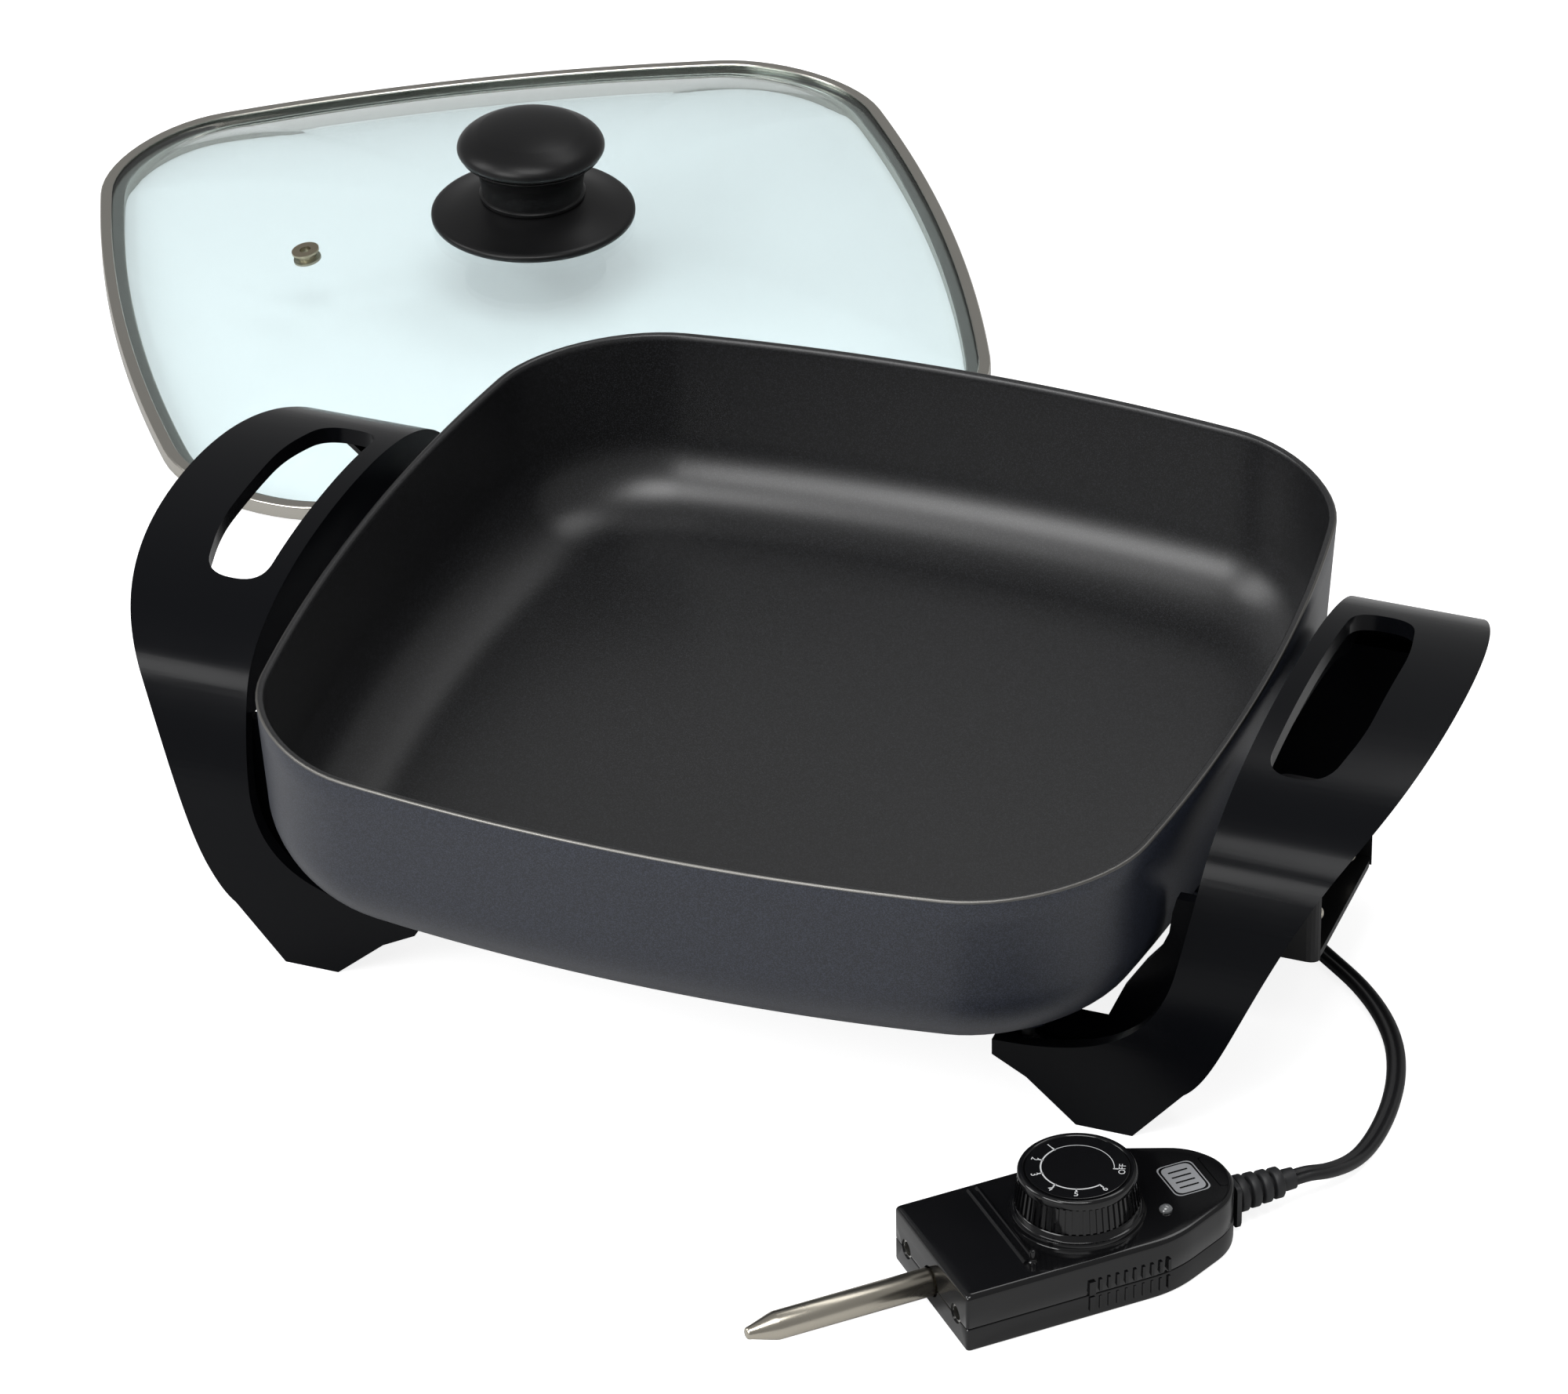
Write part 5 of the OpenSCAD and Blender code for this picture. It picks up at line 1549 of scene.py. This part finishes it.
    def build_probe(self, palette: Palette) -> None:
        """Makes the temperature probe, with its stepped taper.

        Args:
            palette: the finishes.
        """
        r, end = self.probe_d / 2, self.probe_len
        tip = [(0, 0), (1.3, 0), (1.75, 0.25), (1.95, 0.8), (2.05, 1.4), (3.9, 7.6), (r - 0.15, 8.8), (r, 9.6)]
        root = [(r, end - 0.5), (r - 0.5, end), (r - 0.5, end + 6), (0, end + 6)]
        mesh = turned("probe", tip + root, 96, self.along(-end, 0), 50)
        add(palette, "probe_tube", mesh, "probe_steel", Body.CONTROL, "probe_steel", "probe_sheath")

    def build_relief(self, palette: Palette) -> None:
        """Makes the ribbed strain relief with its rectangular first block.

        Args:
            palette: the finishes.
        """
        profile: list[Point2] = [(0, -4.4), (5, -4.4), (5, -2.7), (3.2, -2.7), (3.2, 1.8)]
        for i in range(self.relief_ribs):
            r = 5.7 - 1.2 * i / self.relief_ribs
            base = 1.8 + self.relief_pitch * i
            rib = ((-1.7, 0.2), (-1.7, 0.75), (-0.35, 0.95), (0, 1.3), (0, 3.3), (-0.35, 3.65), (-1.7, 3.85))
            profile += [(r + dr, base + du) for dr, du in rib]
        profile += [(3.4, 19.2), (3.3, self.relief_len), (0, self.relief_len)]
        bm = bmesh.new()
        lathe(bm, profile, 64, self.along(self.length, 0))
        block = rounded_outline([(-6.6, -7.8), (6.6, -7.8), (6.6, 6.8), (-6.6, 6.8)], 1.8)
        loft(bm, [np.array([(u, y * k, z * k) for y, z in block]) for u, k in ((0.1, 1), (1.5, 1), (1.9, 0.94))],
             place=self.at(self.length, 0, self.axis_h))
        mesh = finish_mesh(bm, "relief", sharp=45)
        add(palette, "relief", mesh, "relief_rubber", Body.CONTROL, "cord_rubber", "strain_relief")

    def build_badge(self, palette: Palette) -> None:
        """Makes the plain silver plate with its frame line and bars.

        Args:
            palette: the finishes.
        """
        made = []
        silver, dark = "badge_silver", "gloss_moulding"
        layers = [(half_u, half_u + 1.8, 0, 2.6, 8, lift, finish)
                  for half_u, lift, finish in ((5.9, 0, silver), (5.5, 0.02, dark), (4.9, 0.04, silver))]
        layers += [(3.2, 0.35, 2.6 * (i - 1.5), 0.3, 4, 0.06, dark) for i in range(4)]
        for half_u, half_v, shift, corner, steps, lift, finish in layers:
            corners = [(-half_u, -half_v), (half_u, -half_v), (half_u, half_v), (-half_u, half_v)]
            bm = bmesh.new()
            outline = rounded_outline(corners, corner, steps)
            bm.faces.new([bm.verts.new((u * MM, (v + shift) * MM, lift * MM)) for u, v in outline])
            plate = palette.dress(piece("plate", finish_mesh(bm, "plate", recalc=False)), finish)
            plate.data.transform(self.at(self.badge_u, self.badge_v, self.height + 0.03))
            made.append(plate)
        settle(join("control_badge", made), Body.CONTROL, "gloss_plastic")

    def build(self, palette: Palette, repeat: Repeat) -> None:
        """Makes the control's pieces.

        Args:
            palette: the finishes.
            repeat: the node trees that make the ribs.
        """
        self.build_shells(palette, repeat)
        self.build_dial(palette, repeat)
        self.build_probe(palette)
        self.build_badge(palette)
        self.build_relief(palette)


# ---------------------------------------------------------------- cord


@dataclass
class Cord:
    """The flat twin cord, out of the relief, under the right handle and into its coil behind the pan."""

    width: float = 6.0
    thick: float = 3.2
    web_share: float = 0.62
    coil_x: float = 20
    coil_y: float = 204
    coil_r: float = 38
    coil_turns: float = 1.5
    coil_pitch: float = 6.8
    coil_z: float = 2.6
    coil_lift: float = 3.9
    coil_rings: int = 24
    tail_step: float = 4
    tail_bend: float = 8
    tail_count: int = 4

    ROUTE_M = (
        (0.199, -0.109, 0.009), (0.2035, -0.103, 0.007), (0.207, -0.094, 0.0042), (0.209, -0.084, 0.0022),
        (0.210, -0.072, 0.0017), (0.2095, -0.058, 0.0017), (0.207, -0.043, 0.0017), (0.202, -0.028, 0.0017),
        (0.194, -0.014, 0.0017), (0.183, -0.001, 0.0017), (0.169, 0.011, 0.0017), (0.154, 0.023, 0.0017),
        (0.138, 0.034, 0.0017), (0.121, 0.046, 0.0017), (0.104, 0.059, 0.0017), (0.089, 0.075, 0.0017),
        (0.080, 0.095, 0.0017), (0.074, 0.117, 0.0017), (0.068, 0.140, 0.0017), (0.0625, 0.163, 0.0017),
        (0.059, 0.186, 0.002), (0.058, 0.204, 0.0026),
    )

    def coil(self) -> list[Point3]:
        """The coil's points: in along the table, up in half a turn, and out again.

        Returns:
            The points, in metres.
        """
        turns = 2 * self.coil_turns + 0.5
        made = []
        for i in range(1, int(self.coil_rings * turns) + 1):
            t = i / self.coil_rings
            inward, outward = min(t, self.coil_turns), max(t - self.coil_turns - 0.5, 0)
            climb = min(max((t - self.coil_turns) * 2, 0), 1)
            r = self.coil_r - self.coil_pitch * (inward - outward)
            a = 2 * math.pi * t
            z = self.coil_z + self.coil_lift * (3 * climb**2 - 2 * climb**3)
            made.append(((self.coil_x + r * math.cos(a)) * MM, (self.coil_y + r * math.sin(a)) * MM, z * MM))
        for k in range(1, self.tail_count + 1):
            a = math.radians(360 * turns + 90 - self.tail_bend * k)
            x, y, z = made[-1]
            made.append((x + self.tail_step * MM * math.cos(a), y + self.tail_step * MM * math.sin(a), z))
        return made

    def path(self, exit_m: Point3) -> np.ndarray:
        """The whole centreline from the exit to the plug, smoothed.

        Args:
            exit_m: where the cord leaves the strain relief, in metres.

        Returns:
            Its points, in metres.
        """
        knots = np.array([exit_m, *self.ROUTE_M])
        fine = []
        for i in range(len(knots) - 1):
            a, b, c, d = (knots[min(max(i + k, 0), len(knots) - 1)] for k in (-1, 0, 1, 2))
            for t in np.linspace(0, 1, 5)[:-1]:
                fine.append(
                    0.5 * (2 * b + (c - a) * t + (2 * a - 5 * b + 4 * c - d) * t * t + (3 * b - a - 3 * c + d) * t**3)
                )
        return np.vstack([fine, knots[-1:], self.coil()])

    def section(self) -> np.ndarray:
        """The twin section across the cord: two round cores and the groove between them.

        Returns:
            Its points across and up.
        """
        r = self.thick / 2
        c, web = self.width / 2 - r, r * self.web_share
        right = [(c + r * math.cos(a), r * math.sin(a)) for a in np.radians(np.arange(-125, 126, 25))]
        left = [(-x, y) for x, y in right[::-1]]
        return np.array(right + [(0, web)] + left + [(0, -web)])

    def build(self, palette: Palette, exit_m: Point3, nodes: dict[str, bpy.types.Object]) -> None:
        """Args:
            palette: the finishes.
            exit_m: where the cord leaves the strain relief, in metres.
            nodes: the frame's CAD nodes by name; not used.
        """
        path = self.path(exit_m)
        along = headings(path)
        side = np.stack([along[:, 1], -along[:, 0], np.zeros(len(path))], 1)
        side /= np.linalg.norm(side, axis=1)[:, None]
        up = np.cross(side, along)
        flat = self.section()
        rings = [(p + s * flat[:, :1] * MM + u * flat[:, 1:] * MM) / MM for p, s, u in zip(path, side, up)]
        mesh = skinned("cord", rings, 70)
        cord = add(palette, "cord_twin", mesh, "cord_rubber", Body.CONTROL, "cord_rubber", "cord", "cord_coil")


# ---------------------------------------------------------------- carried-over pieces


CARRIED: dict[str, str] = {
    "probe_block": "pan_coat",
    "heating_element": "element_sheath",
    "terminal_insulators": "ceramic",
    "terminal_pins": "terminal_metal",
    "socket_guard": "guard_moulding",
    "guard_screws": "zinc_steel",
    "left_handle_screws": "zinc_steel",
    "right_handle_screws": "zinc_steel",
    "vent_grommet": "vent_metal",
    "knob_washer": "bright_steel",
    "knob_screw": "zinc_steel",
    "probe_collar": "probe_steel",
    "contact_sockets": "bright_steel",
    "thermostat_base": "phenolic_board",
    "bimetal_blade": "contact_brass",
    "contact_blades": "contact_brass",
    "push_rod": "ceramic",
    "indicator_lens": "lens_clear",
    "indicator_lamp": "lamp_glow",
    "shell_screws": "zinc_steel",
    "dial_shaft": "bright_steel",
    "cord_tie": "cord_rubber",
    "plug": "cord_rubber",
    "plug_blades": "contact_brass",
}


def dress_carried(palette: Palette, nodes: dict[str, bpy.types.Object]) -> None:
    """Gives each CAD node that stays its finish."""
    for name, finish in CARRIED.items():
        palette.dress(nodes[name], finish)


# ---------------------------------------------------------------- stage


@dataclass
class Studio:
    """The camera, floor and lights."""

    azimuth: float = 21.14
    elevation: float = 32.76
    roll: float = -1.07
    distance_m: float = 2.27561
    target_m: Point3 = (-0.01786, 0.02598, 0.05)
    lens: float = 163.70
    sensor: float = 36.0
    floor_half_m: float = 6
    floor_grey: float = 0.62
    floor_glow: tuple[tuple[str, float], ...] = (("Is Camera Ray", 0.85), ("Is Transmission Ray", 0.36))
    world_strength: float = 0.3

    # each soft box: its name, place, aim, size in metres and power in watts
    BOXES = (
        ("top_box", (0.2, -0.9, 2.4), (0, 0.05, 0), (1.5, 0.9), 26),
        ("left_box", (-2.2, -0.6, 1.4), (-0.1, 0, 0.05), (0.9, 1.4), 16),
        ("back_box", (0.5, 1.5, 2.7), (0, 0.1, 0.05), (2.2, 0.8), 14),
        ("front_box", (-1.1, -2.3, 1.75), (0, 0.05, 0.05), (1.7, 1.2), 40),
    )

    def camera(self) -> None:
        """Sets the camera at the photograph's angle."""
        az, el, ro = (math.radians(a) for a in (self.azimuth, self.elevation, self.roll))
        back = Vector((math.sin(az) * math.cos(el), -math.cos(az) * math.cos(el), math.sin(el)))
        right0 = (-back).cross(Vector((0, 0, 1))).normalized()
        up0 = right0.cross(-back)
        right = math.cos(ro) * right0 + math.sin(ro) * up0
        up = -math.sin(ro) * right0 + math.cos(ro) * up0
        data = bpy.data.cameras.new("camera")
        data.lens, data.sensor_width, data.sensor_fit = self.lens, self.sensor, "HORIZONTAL"
        data.clip_end = 20
        camera = bpy.data.objects.new("camera", data)
        camera.matrix_world = Matrix.Translation(Vector(self.target_m) + back * self.distance_m) @ Matrix(
            (right, up, back)
        ).transposed().to_4x4()
        bpy.context.scene.collection.objects.link(camera)
        bpy.context.scene.camera = camera

    def light(self, name: str, where: Point3, aim: Point3, size: Point2, power: float) -> None:
        """A soft rectangular light at where, turned to aim.

        Args:
            name: the light's name.
            where: its place, in metres.
            aim: the point that it faces.
            size: its two sides, in metres.
            power: its power in watts.
        """
        data = bpy.data.lights.new(name, "AREA")
        data.shape, data.size, data.size_y, data.energy = "RECTANGLE", size[0], size[1], power
        lamp = bpy.data.objects.new(name, data)
        lamp.location = where
        lamp.rotation_euler = (Vector(aim) - Vector(where)).to_track_quat("-Z", "Y").to_euler()
        bpy.context.scene.collection.objects.link(lamp)

    def floor(self) -> None:
        """Makes the pale floor, which shines a little where the camera or the glass shows it."""
        bm = bmesh.new()
        bm.faces.new([bm.verts.new((self.floor_half_m * x, self.floor_half_m * y, 0))
                      for x, y in ((-1, -1), (1, -1), (1, 1), (-1, 1))])
        floor = piece("floor", finish_mesh(bm, "floor", recalc=False))
        pale = bpy.data.materials.new("pale_floor")
        pale.use_nodes = True
        tree = pale.node_tree
        shader = tree.nodes["Principled BSDF"]
        shader.inputs["Base Color"].default_value = (self.floor_grey, self.floor_grey, self.floor_grey, 1)
        shader.inputs["Roughness"].default_value = 0.9
        shader.inputs["Emission Color"].default_value = (1, 1, 1, 1)
        path = tree.nodes.new("ShaderNodeLightPath")
        glow = tree.nodes.new("ShaderNodeMath")
        glow.operation = "MAXIMUM"
        for i, (ray, strength) in enumerate(self.floor_glow):
            share = tree.nodes.new("ShaderNodeMath")
            share.operation = "MULTIPLY"
            share.inputs[1].default_value = strength
            tree.links.new(path.outputs[ray], share.inputs[0])
            tree.links.new(share.outputs[0], glow.inputs[i])
        tree.links.new(glow.outputs[0], shader.inputs["Emission Strength"])
        floor.data.materials.append(pale)

    def world(self) -> None:
        """Makes the even white light from all round."""
        world = bpy.data.worlds.new("studio")
        world.use_nodes = True
        background = world.node_tree.nodes["Background"]
        background.inputs["Color"].default_value = (1, 1, 1, 1)
        background.inputs["Strength"].default_value = self.world_strength
        bpy.context.scene.world = world
        bpy.context.scene.view_settings.view_transform = "Standard"

    def build(self) -> None:
        """Makes the floor, the world's light and the soft boxes."""
        self.floor()
        self.world()
        for name, where, aim, size, power in self.BOXES:
            self.light(name, where, aim, size, power)


def main() -> None:
    """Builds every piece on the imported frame, in order."""
    logging.basicConfig(level=logging.INFO, format="%(name)s %(message)s")
    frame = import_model()
    nodes = frame["nodes"]
    studio = Studio()
    studio.camera()
    palette, repeat = Palette(), Repeat()
    control = Control()
    control.build(palette, repeat)
    exit_m = tuple(control.at(control.length + control.relief_len, 0, control.axis_h).translation)
    Cord().build(palette, exit_m, nodes)
    Pan().build(palette, nodes)
    Handle().build(palette)
    GuardFloor().build(palette)
    Lid().build(palette)
    dress_carried(palette, nodes)
    studio.build()


if __name__ == "__main__":
    main()
